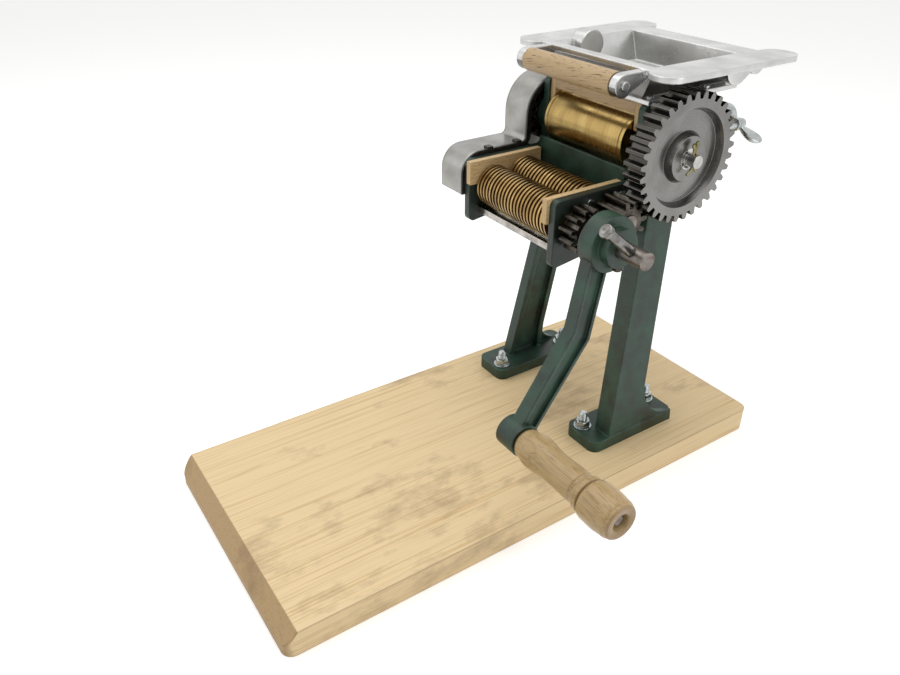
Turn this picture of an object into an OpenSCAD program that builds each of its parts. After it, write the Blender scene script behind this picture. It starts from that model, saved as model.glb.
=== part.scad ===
// Hand-cranked noodle machine on a plank: smooth sheeting rollers, grooved cutter rolls, gears and crank.
// Origin under the middle of the plank; X runs along the rollers to the crank side, Y to the rear, Z up.

/* [Base board] */
// Width of the plank
board_w = 250; // [240:1:320]
// Length of the plank
board_l = 530; // [440:1:700]
// Thickness of the plank
board_t = 25; // [20:1:40]
// Length of the bevel on the plank's front end
bevel_l = 12; // [4:1:20]
// Depth of the bevel on the plank's front end
bevel_h = 15; // [4:1:18]
// Radius of the plank's corners seen from above
board_corner = 10; // [4:1:20]
// Sideways place of the machine from the plank's middle
machine_x = -5; // [-15:1:15]

/* [Feet and legs] */
// Width over the outer faces of the feet
stance = 195; // [186:1:215]
// Front end of the feet, from the plank's middle
foot_y = 75; // [65:1:85]
// Length of a foot
foot_l = 108; // [98:1:120]
// Width of a foot
foot_w = 43; // [40:1:48]
// Thickness of a foot
foot_t = 12; // [8:1:16]
// Corner radius of a foot
foot_corner = 9; // [4:1:12]
// Front end of the foot to the leg
toe = 18; // [14:1:22]
// Length of the leg at the foot, front to rear
leg_foot_l = 47; // [40:1:50]
// Length of the leg at the head, front to rear
leg_head_l = 32; // [28:1:38]
// Thickness of the leg's outer web
leg_web = 7; // [5:0.5:9]
// Depth of the leg's flanges
leg_flange = 20; // [18:1:20]
// Thickness of the leg's flanges
flange_t = 6; // [4:0.5:8]
// Step from the head plate out to the leg's top
leg_step = 10.5; // [8:0.5:12]
// Inward set of the left leg's outer face
left_leg_in = 8; // [0:0.5:8]
// Rearward set of the left leg
left_leg_back = 9; // [0:0.5:10]
// Diameter of the foot bolts
bolt_d = 8; // [6:0.5:9]
// End of the foot to its bolt
bolt_end = 11; // [10:0.5:13]
// Inner edge of the foot to its bolts
bolt_side = 13; // [12:0.5:14]
// Length of bolt thread above the nut
bolt_top = 9; // [5:1:30]

/* [Axes] */
// Height of the crank axis above the plank
crank_h = 236; // [226:1:256]
// Crank axis behind the plank's middle
crank_y = 53.5; // [45:0.5:60]
// Angle from the front cutter's axis up to the rear cutter's
cutter_lean = 5.2; // [0:0.1:10]
// Angle from the rear cutter's axis up to the front roller's
roller_lift = 45; // [42:0.5:50]

/* [Gears] */
// Module of the gear teeth
gear_module = 3.175; // [3.1:0.005:3.25]
// Teeth on the pinions and cutter gears
pinion_teeth = 11; // [11:1:12]
// Teeth on the large gear
big_teeth = 33; // [31:1:35]
// Teeth on the roller gears
roller_teeth = 16; // [15:1:18]
// Thinning of each tooth for backlash
backlash = 0.3; // [0.2:0.05:0.4]
// Tooth width of the crank pinion
pinion_face = 16; // [12:0.5:20]
// Tooth width of the large gear
big_face = 20; // [14:0.5:22]
// Tooth width in mesh between idler pinion and large gear
mesh_face = 10; // [6:0.5:12]
// Tooth width of the cutter gears
cutter_gear_face = 14; // [10:0.5:18]
// Tooth width of the roller gears
roller_gear_face = 18; // [12:0.5:20]
// Diameter of the large gear's hub
gear_hub_d = 38; // [32:1:44]
// Width of the large gear's rim under the teeth
gear_rim = 7; // [5:0.5:10]
// Depth of the dish in the large gear's outer face
gear_dish = 7; // [4:0.5:8]

/* [Rollers] */
// Diameter of the smooth rollers
roller_d = 50.8; // [49.6:0.1:51.6]
// Length of the smooth rollers
roller_l = 101.6; // [100.4:0.2:106]
// Gap between the smooth rollers, closed
roller_gap = 0.4; // [0.3:0.1:0.8]
// Travel of the rear roller
gap_travel = 2.5; // [1:0.1:2.5]
// Diameter of the smooth rollers' shafts
roller_shaft_d = 18; // [15:0.5:20]
// Diameter of the front roller shaft's tip, outside the large gear
shaft_tip_d = 11; // [9:0.5:14]
// Length of that tip
shaft_tip_l = 10; // [9:0.5:14]
// Wall of the front roller's bushes
roller_bush_wall = 4; // [3:0.5:5]
// Length and height of a sliding bearing block
block_size = 28; // [26:0.5:32]
// Diameter of the wing screws
wing_screw_d = 7; // [6:0.5:7.5]
// Span over a wing screw's ears
wing_span = 52; // [44:1:56]
// Length of a wing screw's shank behind the head
wing_reach = 21; // [6:1:30]
// Turn of the wings at rest
wing_turn = -30; // [-90:1:90]

/* [Cutters] */
// Depth by which the ridges of one roll reach into the other
cutter_mesh = 3.2; // [2.4:0.1:3.6]
// Width of a ridge
ridge_w = 2; // [1.6:0.1:2]
// Clearance beside a ridge
ridge_side = 0.3; // [0.2:0.05:0.35]
// Clearance under a ridge
ridge_floor = 0.8; // [0.6:0.1:1.2]
// Ridges on the front roll
ridges = 22; // [16:2:22]
// Diameter of the cutter shafts
cutter_shaft_d = 15; // [12:0.5:16]
// Wall of the cutter bushes
cutter_bush_wall = 3; // [2:0.5:4]
// Thickness of a comb finger
finger_w = 1.6; // [1:0.1:1.8]
// Thickness of the comb sheet
comb_t = 1.5; // [1:0.1:2]
// Width of the bars under the cutters
bar_w = 16; // [14:0.5:20]
// Thickness of the bars under the cutters
bar_t = 6; // [4:0.5:8]

/* [Frames] */
// Room from a roller's end to the frame
end_room = 7.2; // [7:0.1:9]
// Thickness of the head plates
plate_t = 7; // [6:0.5:8]
// Crank axis to the cheek's front edge
cheek_reach = 22; // [21:0.5:26]
// Crank axis to the cheek's top edge
cheek_rise = 25; // [24.5:0.5:28]
// Crank axis to the cheek's bottom edge
cheek_drop = 35.5; // [35:0.5:44]
// Radius of the cheek's nose
cheek_nose = 6; // [3:1:12]
// Front roller axis to the head's front edge
head_lead = 16; // [14.5:0.5:18]
// Front roller axis to the head's top edge
head_rise = 36.5; // [35:0.5:40]
// Rear roller axis to the head's rear edge
head_tail = 36; // [34:0.5:44]
// Front roller axis to the head's lower rear edge
head_drop = 33; // [28:0.5:38]
// Corner radius of the head plates
head_corner = 6; // [3:0.5:10]
// Height of the cross stay
stay_h = 46; // [40:0.5:48]
// Thickness of the cross stay
stay_t = 8; // [6:0.5:8]
// Depth of the cross stay's rib under the front roller
stay_rib = 20; // [14:0.5:22]
// Thickness of the beech boards inside the frames
beech_t = 6.2; // [5:0.1:6.4]

/* [Crank] */
// Crank axis to the handle's axis
crank_r = 172; // [150:1:185]
// Angle of the crank arm at rest
crank_angle = -124.7; // [-180:0.1:0]
// Width of the crank arm at the hub
arm_w_hub = 23; // [20:0.5:30]
// Width of the crank arm at the handle
arm_w_end = 18.5; // [15:0.5:24]
// Thickness of the crank arm
arm_t = 12.5; // [9:0.5:13]
// Outward step of the crank arm
arm_step = 21; // [18:0.5:26]
// Start of the arm's step from the crank axis
step_start = 18; // [16:1:24]
// End of the arm's step from the crank axis
step_end = 75; // [66:1:76]
// Diameter of the crank arm's hub
arm_hub_d = 48; // [44:1:56]
// Length of the crank arm's hub
arm_hub_l = 16; // [12:0.5:16]
// Diameter of the hub's raised centre
hub_top_d = 33; // [30:1:42]
// Height of the hub's raised centre
hub_top_l = 10; // [8:0.5:12]
// Length of shaft beyond the hub
shaft_tail = 27; // [22:1:34]
// Diameter of the drive pin
drive_pin_d = 8.5; // [6:0.5:9]
// Reach of the drive pin from the shaft's axis
drive_pin_r = 42; // [30:1:50]
// Angle of the drive pin at rest
drive_pin_angle = 139.5; // [0:0.5:360]
// Diameter of the arm's boss at the handle
end_boss_d = 28; // [24:1:34]
// Length of the arm's boss at the handle
end_boss_l = 21; // [16:0.5:26]
// Length of the grip
grip_l = 111; // [90:1:130]
// Largest diameter of the grip
grip_d = 35; // [30:0.5:40]
// Diameter of the grip's waist
grip_waist = 26; // [23:0.5:29]
// Diameter of the handle's spindle
spindle_d = 8; // [6:0.5:9]

/* [Hopper] */
// Front roller axis to the hopper's top
hopper_rise = 66.4; // [62:0.5:72]
// Width of the hopper over its wings
hopper_w = 199; // [170:1:220]
// Front roller axis to the hopper's front edge
hopper_lead = 19; // [17:0.5:22]
// Front roller axis to the hopper's rear rim
hopper_tail = 115; // [106:1:125]
// Length of the wings behind the rear rim
wing_tail = 20; // [4:1:22]
// Length of the wings before the front rim
wing_lead = 8.5; // [0:0.5:10]
// Thickness of the hopper's flange
hopper_t = 5; // [4:0.5:6]
// Wall of the hopper's bowl
bowl_wall = 4; // [3:0.5:4]
// Width of the front rim beside the bowl
rim_front = 10.5; // [9:0.5:11]
// Width of the rear rim behind the bowl
rim_rear = 24; // [14:0.5:26]
// Length of the throat, front to rear
throat_l = 74; // [66:1:80]
// Flare of the bowl's sides from throat to rim
bowl_flare = 12; // [9:0.5:13]
// Diameter of the guide roller
guide_d = 20; // [14:0.5:20]
// Hopper's front edge to the guide roller's axis
guide_out = 23; // [22:0.5:26]
// Hopper's top to the guide roller's axis
guide_drop = 10.5; // [10:0.5:13]
// Diameter of the guide roller's axle
axle_d = 5; // [4:0.5:6]
// Diameter of the tab on the bowl's left side
tab_d = 28; // [22:1:32]

/* [Gear cover] */
// Depth of the gear cover
cover_depth = 33; // [31:0.5:40]
// Sheet of the gear cover
cover_t = 2.2; // [1.5:0.1:2.5]
// Roller axes to the cover's outside
cover_r = 34.5; // [34.5:0.5:37]
// Crank axis to the cover's front
cover_front = 25.3; // [25:0.1:28]
// Crank axis to the cover's front top edge
cover_top = 29; // [28:0.5:34]
// Radius of the cover's front corner
cover_nose = 21; // [12:1:22]
// Width of the black rim inside the cover's edge
rim_w = 5; // [3:0.5:6]

/* [Clearances] */
// Diametral clearance of seated fits
seat = 0.04; // [0.02:0.01:0.06]
// Diametral clearance of running fits
run = 0.12; // [0.06:0.01:0.18]
// Clearance around sliding blocks
slide = 0.15; // [0.1:0.01:0.3]
// Gap between faces that pass each other
pass = 0.5; // [0.4:0.1:0.8]

/* [Hidden] */
$fn = 64;
fine = 0.05;
pressure = 20;

// Axes as [Y, Z]
deck = board_t;
front_axis = [crank_y, deck + crank_h];
cutter_gap = pinion_teeth * gear_module;
rear_axis = front_axis + cutter_gap * [cos(cutter_lean), sin(cutter_lean)];
gear_gap = (pinion_teeth + big_teeth) * gear_module / 2;
roller_axis = rear_axis + gear_gap * [cos(roller_lift), sin(roller_lift)];
back_axis = roller_axis + [roller_d + roller_gap, 0];

// Stations along X from the machine's middle
roller_end = roller_l / 2;
frame_in = roller_end + end_room;
frame_out = frame_in + plate_t;
beech_in = frame_in - beech_t;
bush_lip = 2.4;
pinion_in = frame_out + bush_lip + pass;
pinion_out = pinion_in + pinion_face;
big_in = pinion_out + pass;
big_out = big_in + big_face;
idler_out = big_in + mesh_face;
hub_in = idler_out + 5 * pass;
hub_out = hub_in + arm_hub_l;
hub_top = hub_out + hub_top_l;
shaft_end = hub_top + shaft_tail;
lip_t = 3;
gear_side = frame_out + lip_t + 2 * pass;
cutter_shaft_in = gear_side + cutter_gear_face + 3;
roller_shaft_in = gear_side + roller_gear_face + 2;
cover_in = frame_out + 2;
cover_out = cover_in + cover_depth;

// Gear proportions
pinion_add = 0.86 * gear_module;
big_add = 0.7 * gear_module;
pinion_ded = 1.2 * gear_module;
big_ded = 1.1 * gear_module;
roller_module = roller_d / roller_teeth;
roller_add = 0.9 * roller_module;
roller_ded = 1.25 * roller_module;

// Cutter rolls
cutter_d = cutter_gap + cutter_mesh;
ridge_pitch = 2 * (ridge_w + ridge_side);
core_d = cutter_d - 2 * (cutter_mesh + ridge_floor);
cutter_bush_d = cutter_shaft_d + 2 * cutter_bush_wall;
core_end = beech_in - pass;

// Rollers and their bearings
roller_bush_d = roller_shaft_d + 2 * roller_bush_wall;
boss_d = roller_bush_d + 14;
ring_in = 4;
ring_d = 1.2;
block_lip = 4;
dish_wall = 3;
screw_x = frame_in + plate_t / 2 - pass;
tip_d = wing_screw_d - 2;
socket = 4;
slot_front = back_axis[0] - block_size / 2 - slide;
lug_y = back_axis[0] + block_size / 2 + gap_travel + 3 * pass;
lug_d = wing_screw_d + 4;
head_rear = back_axis[0] + head_tail;
wing_y = head_rear + wing_reach;
wing_l = 12;
wing_t = 4;
ear_r = 9;

// Split pin
split_d = 3.5;
split_x = big_out + shaft_tip_l / 2;
split_reach = shaft_tip_d / 2 + 5;
split_eye = 3;
split_wire = 2.4;

// Legs
leg_top_z = roller_axis[1] - 33;
leg_top_x = frame_out + leg_step;
leg_rise = leg_top_z - deck;
splay = atan((stance / 2 - leg_top_x) / leg_rise);
leg_l = leg_rise / cos(splay);
leg_top_y = roller_axis[0] - 5;
leg_foot_y = foot_y + toe;
heel_y = leg_foot_y + leg_foot_l;
heel_r = foot_l - toe - leg_foot_l - 2;
foot_in = stance / 2 - foot_w;
bolt_x = foot_in + bolt_side;
bolt_ys = [foot_y + bolt_end, foot_y + foot_l - bolt_end];
bolt_head_d = 2.2 * bolt_d;
bolt_sink = 6;
bolt_head_t = 4;
washer_d = 2.2 * bolt_d;
washer_t = 1.6;
nut_d = 1.85 * bolt_d;
nut_h = 0.8 * bolt_d;

// Frame heads
cheek_front = front_axis[0] - cheek_reach;
cheek_top = front_axis[1] + cheek_rise;
cheek_low = front_axis[1] - cheek_drop;
head_front = roller_axis[0] - head_lead;
head_top = roller_axis[1] + head_rise;
head_low = roller_axis[1] - head_drop;
inner_fillet = 8;
head_slope = 18;
under_z = roller_axis[1] - 62;
belly_lead = 6;
belly_drop = 14;
stay_y = head_front - stay_t;
stay_top = cheek_top + 10;
stay_rib_top = cheek_top - 1;
stay_rib_t = 7;
stay_chamfer = 5;
stay_low = stay_top - stay_h;
stay_screw_y = stay_y + stay_t / 2;
stay_screw_z = [stay_low + 10, stay_low + 25];
stay_screw_d = 5;
stay_screw_l = 18;
board_screw_d = 4;
board_screw_z = cheek_top - 9;
board_screw_y = [front_axis[0] + cutter_gap / 2 - 2, rear_axis[0] + 16];
board_rear = board_screw_y[1] + 7;
board_skin = 1.5;
beech_front = cheek_front - 3;
beech_low = front_axis[1] + 3.5;

// Comb bars
comb_in = core_d / 2 + pass;
comb_out = cutter_d / 2 + pass;
comb_edge = comb_out + comb_t;
bar_z = front_axis[1] - comb_edge - 0.2;
rear_bar_z = rear_axis[1] - comb_edge - 0.2;
bar_shift = 4;
comb_back = [-105, -75];
front_finger = [-104, -55];
rear_finger = [-125, -76];

// Crank
arm_in = hub_in + 1;
arm_mid = arm_in + arm_step;
recess = 3;
end_boss_in = arm_mid + arm_t / 2 - end_boss_l / 2 - 1;
end_boss_out = end_boss_in + end_boss_l;
grip_in = end_boss_out + pass;
grip_out = grip_in + grip_l;
end_hole_d = 15;
end_hole_l = 14;
pin_x = hub_top + shaft_tail / 2;
pin_tail = 6;
pin_head = 4;
spindle_collar = 3;
spindle_nut_h = 6;
clamp_x = hub_out + hub_top_l / 2;
clamp_d = 6;
clamp_angle = 42;
clamp_head = 4;
clamp_head_d = hub_top_l - 2 * pass;
clamp_seat = hub_top_d / 2 + 0.3;

// Hopper
hopper_top = roller_axis[1] + hopper_rise;
flange_low = hopper_top - hopper_t;
hopper_front = roller_axis[0] - hopper_lead;
hopper_rear = roller_axis[0] + hopper_tail;
bowl_front = hopper_front + rim_front;
bowl_rear = hopper_rear - rim_rear;
strip_front = roller_axis[0] - 13.5;
strip_t = 6.5;
throat_front = strip_front + strip_t;
throat_x = beech_in - pass;
bowl_x = throat_x + bowl_flare;
seat_t = 4;
seat_top = head_top + seat_t;
seat_front = strip_front - pass;
seat_rear = bowl_rear + bowl_wall;
bowl_lean = 3;
hopper_screw_d = 4;
hopper_screw_l = 10;
hopper_head_t = 2.5;
hopper_screw_y = [seat_front + 6, back_axis[0] + 8];
hopper_screw_x = frame_in + plate_t / 2;
guide_axis = [hopper_front - guide_out, hopper_top - guide_drop];
guide_end = throat_x + 4;
axle_head = 2;
ear_in = guide_end + pass;
ear_t = 8;
ear_root = hopper_front + 8;
ear_d = 2 * (guide_drop - 1);
strip_low = roller_axis[1] + roller_d / 2 + 1.6;
cheek_board_low = roller_axis[1] + block_size / 2 - 1;
cheek_board_rear = back_axis[0] + 10;
lug_x = frame_out + 7.5;
lug_t = 5;
lug_r = 10;
lug_hole_d = 6;
lug_at = [hopper_rear - 12, flange_low - 2];
lug_web_r = 14;
lug_web = [hopper_rear - 36, flange_low - 4];
wing_in = bowl_x + 3;
wing_corner = 0.42 * (hopper_w / 2 - wing_in);
tab_at = [roller_axis[0] + 28, hopper_top - 6];
tab_l = 11.5;

// Gear cover
cover_y = roller_axis[0] - cover_r;
cover_sill = front_axis[1] - 10;
cover_dip = 14;
cover_neck = 5;
cover_slope = 8;
clip_l = 6;
clip_out = 5;
clip_t = 2;
clip_y = [front_axis[0] + 4, cover_y - 12];
stud_out = 7;
cover_nut_af = 10;
cover_nut_h = 5;
cover_open = 40;
cover_step_z = front_axis[1] + cover_top;
stud_d = 6;
cover_studs_at = [
  [(front_axis[0] + rear_axis[0]) / 2, front_axis[1] - 17.5],
  [roller_axis[0] - 26, cheek_top - 5],
  [(roller_axis[0] + back_axis[0]) / 2, head_top - 10.5]
];

// Curves
function on_arc(c, r, a) = c + r * [cos(a), sin(a)];
function arc(c, r, a0, a1, n = 12) = [for (i = [0:n]) on_arc(c, r, a0 + (a1 - a0) * i / n)];

// Half the angle of an involute tooth at radius r
function involute(a) = tan(a) * 180 / PI - a;
function half_tooth(n, m, r) =
  let (pr = n * m / 2, br = pr * cos(pressure), q = max(r, br))
  90 / n - backlash / 2 / pr * 180 / PI + involute(pressure) - involute(acos(br / q));

function tooth_radii(n, m, add, ded) =
  let (pr = n * m / 2, br = pr * cos(pressure), tip = pr + add, low = max(br, pr - ded + 0.1))
  concat([pr - ded], [for (i = [0:3]) low + (tip - low) * i / 3]);

function gear_points(n, m, add, ded) =
  let (rs = tooth_radii(n, m, add, ded), last = len(rs) - 1)
  [for (k = [0:n - 1]) for (j = [0:2 * last + 1])
    let (i = j <= last ? j : 2 * last + 1 - j, s = j <= last ? -1 : 1)
    let (a = 360 * k / n + s * half_tooth(n, m, rs[i]))
    rs[i] * [cos(a), sin(a)]];

// Turn that sets gear 2 in mesh with gear 1, seen along a line of centres at angle dir
function mesh_turn(n1, turn1, dir, n2) = dir + 180 + (dir - turn1) * n1 / n2 + 180 / n2;

// Grip profile as [place along the grip, radius], joined by smooth steps
grip_rings = [
  [0, grip_waist / 2 - 1.5],
  [0.14, grip_waist / 2 + 2.2],
  [0.34, grip_waist / 2],
  [0.59, grip_waist / 2 + 0.6],
  [0.615, grip_waist / 2 - 0.6],
  [0.63, grip_waist / 2 + 1.2],
  [0.69, grip_waist / 2 + 2.4],
  [0.705, grip_waist / 2 + 1.2],
  [0.72, grip_d / 2 - 0.8],
  [0.85, grip_d / 2],
  [0.95, grip_d / 2 - 1],
  [1, grip_d / 2 - 3.5]
];
function ease(a, b, t) = [a[0] + (b[0] - a[0]) * t, a[1] + (b[1] - a[1]) * (1 - cos(180 * t)) / 2];
function ease_steps(a, b) = b[0] - a[0] > 0.1 ? 6 : 2;
function grip_span(a, b) = let (n = ease_steps(a, b)) [for (i = [0:n - 1]) ease(a, b, i / n)];
function grip_curve() = [
  for (k = [0:len(grip_rings) - 2]) each grip_span(grip_rings[k], grip_rings[k + 1]),
  grip_rings[len(grip_rings) - 1]
];

// Turns of the gears at rest
turn_front = cutter_lean;
turn_rear = mesh_turn(pinion_teeth, turn_front, cutter_lean, pinion_teeth);
turn_big = mesh_turn(pinion_teeth, turn_rear, roller_lift, big_teeth);
turn_back = mesh_turn(roller_teeth, 0, 0, roller_teeth);

// Shared shapes
module along_x(x0, x1) {
  translate([x0, 0, 0])
    rotate([90, 0, 90])
      linear_extrude(x1 - x0)
        children();
}

module rod_x(d, x0, x1, at) {
  translate([x0, at[0], at[1]])
    rotate([0, 90, 0])
      cylinder(d = d, h = x1 - x0);
}

module rod_y(d, y0, y1, at) {
  translate([at[0], y0, at[1]])
    rotate([-90, 0, 0])
      cylinder(d = d, h = y1 - y0);
}

module rod_z(d, z0, z1, at) {
  translate([at[0], at[1], z0])
    cylinder(d = d, h = z1 - z0);
}

module hex_x(af, x0, x1, at) {
  translate([x0, at[0], at[1]])
    rotate([0, 90, 0])
      cylinder(d = af / cos(30), h = x1 - x0, $fn = 6);
}

module gear_x(n, m, add, ded, turn, x0, x1, at) {
  translate([0, at[0], at[1]])
    rotate([turn, 0, 0])
      along_x(x0, x1)
        polygon(gear_points(n, m, add, ded));
}

module plate(x0, x1, y0, y1, r) {
  polygon(concat(
    arc([x1 - r, y1 - r], r, 0, 90),
    arc([x0 + r, y1 - r], r, 90, 180),
    arc([x0 + r, y0 + r], r, 180, 270),
    arc([x1 - r, y0 + r], r, 270, 360)
  ));
}

module both_sides() {
  for (m = [0, 1])
    mirror([m, 0, 0])
      children();
}

module on_machine() {
  translate([machine_x, 0, 0])
    children();
}

// Base board and its bolts
module base_board() {
  color([0.86, 0.78, 0.64])
    difference() {
      intersection() {
        along_x(-board_w / 2, board_w / 2)
          polygon([
            [-board_l / 2, 0],
            [board_l / 2, 0],
            [board_l / 2, board_t],
            [-board_l / 2 + bevel_l, board_t],
            [-board_l / 2, board_t - bevel_h]
          ]);
        linear_extrude(board_t)
          plate(-board_w / 2, board_w / 2, -board_l / 2, board_l / 2, board_corner);
      }
      at_foot_bolts() {
        rod_z(bolt_d + seat, -1, board_t + 1, [0, 0]);
        rod_z(bolt_head_d + 2, -1, bolt_sink, [0, 0]);
      }
    }
}

module at_foot_bolts() {
  on_machine()
    for (s = [-1, 1])
      for (y = bolt_ys)
        translate([s * bolt_x, y, 0])
          children();
}

module frame_bolts() {
  color([0.66, 0.64, 0.58])
    at_foot_bolts() {
      rod_z(bolt_d, bolt_sink, deck + foot_t + washer_t + nut_h + bolt_top, [0, 0]);
      rod_z(bolt_head_d, bolt_sink - bolt_head_t, bolt_sink, [0, 0]);
    }
}

module frame_washers() {
  color([0.62, 0.6, 0.56])
    at_foot_bolts()
      difference() {
        rod_z(washer_d, deck + foot_t, deck + foot_t + washer_t, [0, 0]);
        rod_z(bolt_d + seat, deck, deck + foot_t + washer_t + 1, [0, 0]);
      }
}

module frame_nuts() {
  nut_z = deck + foot_t + washer_t;
  color([0.66, 0.64, 0.58])
    at_foot_bolts()
      difference() {
        translate([0, 0, nut_z])
          cylinder(d = nut_d, h = nut_h, $fn = 6);
        rod_z(bolt_d + seat, nut_z - 1, nut_z + nut_h + 1, [0, 0]);
      }
}

// Frame castings
module head_outline() {
  polygon(concat(
    arc([cheek_front + head_corner, cheek_top - head_corner], head_corner, 180, 90),
    arc([head_front - inner_fillet, cheek_top + inner_fillet], inner_fillet, -90, 0),
    arc([head_front + head_corner, head_top - head_corner], head_corner, 180, 90),
    [[back_axis[0] + head_slope, head_top], [head_rear, roller_axis[1] + head_slope]],
    arc([head_rear - head_corner, head_low + head_corner], head_corner, 0, -75),
    [[leg_top_y + leg_head_l, under_z], [leg_top_y - belly_lead, under_z - belly_drop]],
    arc([cheek_front + cheek_nose, cheek_low + cheek_nose], cheek_nose, 270, 180)
  ));
}

module leg_outline(r) {
  polygon(concat(
    [[leg_foot_y, -leg_l], [leg_top_y, 0], [leg_top_y + leg_head_l, 0]],
    arc([heel_y + r, -leg_l + foot_t + r], r, 180, 270),
    [[heel_y + r, -leg_l]]
  ));
}

module leg_flanges(r) {
  polygon([
    [leg_foot_y, -leg_l],
    [leg_top_y, 0],
    [leg_top_y + flange_t, 0],
    [leg_foot_y + flange_t, -leg_l]
  ]);
  polygon([
    [heel_y, -leg_l],
    [heel_y, -leg_l + foot_t + r],
    [leg_top_y + leg_head_l, 0],
    [leg_top_y + leg_head_l - flange_t, 0],
    [heel_y - flange_t, -leg_l + foot_t + r],
    [heel_y - flange_t, -leg_l]
  ]);
  translate([leg_top_y, -flange_t])
    square([leg_head_l, flange_t]);
}

module leg(set_in, set_back) {
  difference() {
    translate([leg_top_x - set_in, set_back, leg_top_z])
      rotate([0, -splay, 0]) {
        along_x(-leg_web, 0)
          leg_outline(heel_r - set_back);
        along_x(set_in - leg_flange, 0)
          leg_flanges(heel_r - set_back);
      }
    translate([0, 0, -deck])
      cube([4 * stance, 2 * board_l, 4 * deck], center = true);
    translate([frame_in - stance, 0, 0])
      cube([stance, board_l, board_l]);
  }
}

module frame(boss_l, set_in, set_back) {
  difference() {
    union() {
      along_x(frame_in, frame_out)
        head_outline();
      rod_x(boss_d, frame_in, frame_out + boss_l, roller_axis);
      rod_y(lug_d, lug_y, head_rear, [screw_x, roller_axis[1]]);
      leg(set_in, set_back);
      translate([0, 0, deck])
        linear_extrude(foot_t)
          plate(foot_in, stance / 2, foot_y, foot_y + foot_l, foot_corner);
    }
    for (a = [front_axis, rear_axis])
      rod_x(cutter_bush_d + seat, frame_in - 1, frame_out + 1, a);
    rod_x(roller_bush_d + seat, frame_in - 1, frame_out + boss_l + 1, roller_axis);
    translate([frame_in - boss_d, slot_front, roller_axis[1] - block_size / 2 - slide])
      cube([plate_t + 2 * boss_d, lug_y - slot_front, block_size + 2 * slide]);
    rod_y(wing_screw_d + seat, lug_y - 1, head_rear + 1, [screw_x, roller_axis[1]]);
    for (z = stay_screw_z)
      rod_x(stay_screw_d + seat, frame_in - 1, frame_out + 1, [stay_screw_y, z]);
    for (y = board_screw_y)
      rod_x(board_screw_d + seat, frame_in - 1, frame_out + 1, [y, board_screw_z]);
    for (y = hopper_screw_y)
      rod_z(hopper_screw_d + seat, head_top - hopper_screw_l - 2, head_top + 1, [hopper_screw_x, y]);
    for (y = bolt_ys)
      rod_z(bolt_d + seat, deck - 1, deck + foot_t + 1, [bolt_x, y]);
  }
}

module right_frame() {
  color([0.13, 0.22, 0.19])
    on_machine()
      frame(big_in - frame_out - pass, 0, 0);
}

module left_frame() {
  color([0.13, 0.22, 0.19])
    on_machine()
      mirror([1, 0, 0])
        difference() {
          frame(lip_t, left_leg_in, left_leg_back);
          for (at = cover_studs_at)
            rod_x(stud_d + seat, frame_in - 1, frame_out + 1, at);
        }
}

module cross_stay() {
  color([0.13, 0.22, 0.19])
    on_machine()
      difference() {
        along_x(-frame_in, frame_in)
          polygon([
            [stay_y, stay_low],
            [stay_y + stay_t, stay_low],
            [stay_y + stay_t, stay_rib_top - stay_rib_t],
            [stay_y + stay_rib, stay_rib_top - stay_rib_t],
            [stay_y + stay_rib, stay_rib_top],
            [stay_y + stay_t, stay_rib_top],
            [stay_y + stay_t, stay_top - stay_chamfer],
            [stay_y + stay_t - stay_chamfer, stay_top],
            [stay_y, stay_top]
          ]);
        both_sides()
          for (z = stay_screw_z)
            rod_x(stay_screw_d + seat, frame_in - stay_screw_l - 2, frame_in + 1, [stay_screw_y, z]);
      }
}

module stay_screws() {
  color([0.5, 0.5, 0.48])
    on_machine()
      both_sides()
        for (z = stay_screw_z) {
          rod_x(stay_screw_d, frame_in - stay_screw_l, frame_out, [stay_screw_y, z]);
          rod_x(1.8 * stay_screw_d, frame_out, frame_out + lip_t, [stay_screw_y, z]);
        }
}

// Beech boards beside the cutters, bars and combs
module cutter_board() {
  difference() {
    translate([beech_in, beech_front, beech_low])
      cube([beech_t, board_rear - beech_front, cheek_top - beech_low]);
    for (a = [front_axis, rear_axis]) {
      rod_x(cutter_bush_d + 2 * pass, beech_in - 1, frame_in + 1, a);
      translate([beech_in - 1, a[0] - cutter_bush_d / 2 - pass, beech_low - 1])
        cube([beech_t + 2, cutter_bush_d + 2 * pass, a[1] - beech_low + 1]);
    }
    for (y = board_screw_y)
      rod_x(board_screw_d + seat, beech_in + board_skin, frame_in + 1, [y, board_screw_z]);
  }
}

module cutter_board_right() {
  color([0.78, 0.65, 0.48])
    on_machine()
      cutter_board();
}

module cutter_board_left() {
  color([0.78, 0.65, 0.48])
    on_machine()
      mirror([1, 0, 0])
        cutter_board();
}

module board_screws() {
  color([0.7, 0.68, 0.62])
    on_machine()
      both_sides()
        for (y = board_screw_y) {
          rod_x(board_screw_d, beech_in + 2, frame_out, [y, board_screw_z]);
          rod_x(2 * board_screw_d, frame_out, frame_out + 2, [y, board_screw_z]);
        }
}

module bar(y0, z_top) {
  along_x(-frame_in, frame_in)
    difference() {
      translate([y0, z_top - bar_t])
        square([bar_w, bar_t]);
      translate([y0 + 3, z_top - bar_t / 4])
        square([bar_w / 3, bar_t]);
    }
}

module front_bar() {
  color([0.75, 0.75, 0.73])
    on_machine()
      bar(front_axis[0] - bar_w + bar_shift, bar_z);
}

module rear_bar() {
  color([0.75, 0.75, 0.73])
    on_machine()
      translate([0, 2 * rear_axis[0], 0])
        mirror([0, 1, 0])
          bar(rear_axis[0] - bar_w + bar_shift, rear_bar_z);
}

module band(r_in, r_out, a0, a1) {
  polygon(concat(arc([0, 0], r_out, a0, a1), arc([0, 0], r_in, a1, a0)));
}

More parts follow.
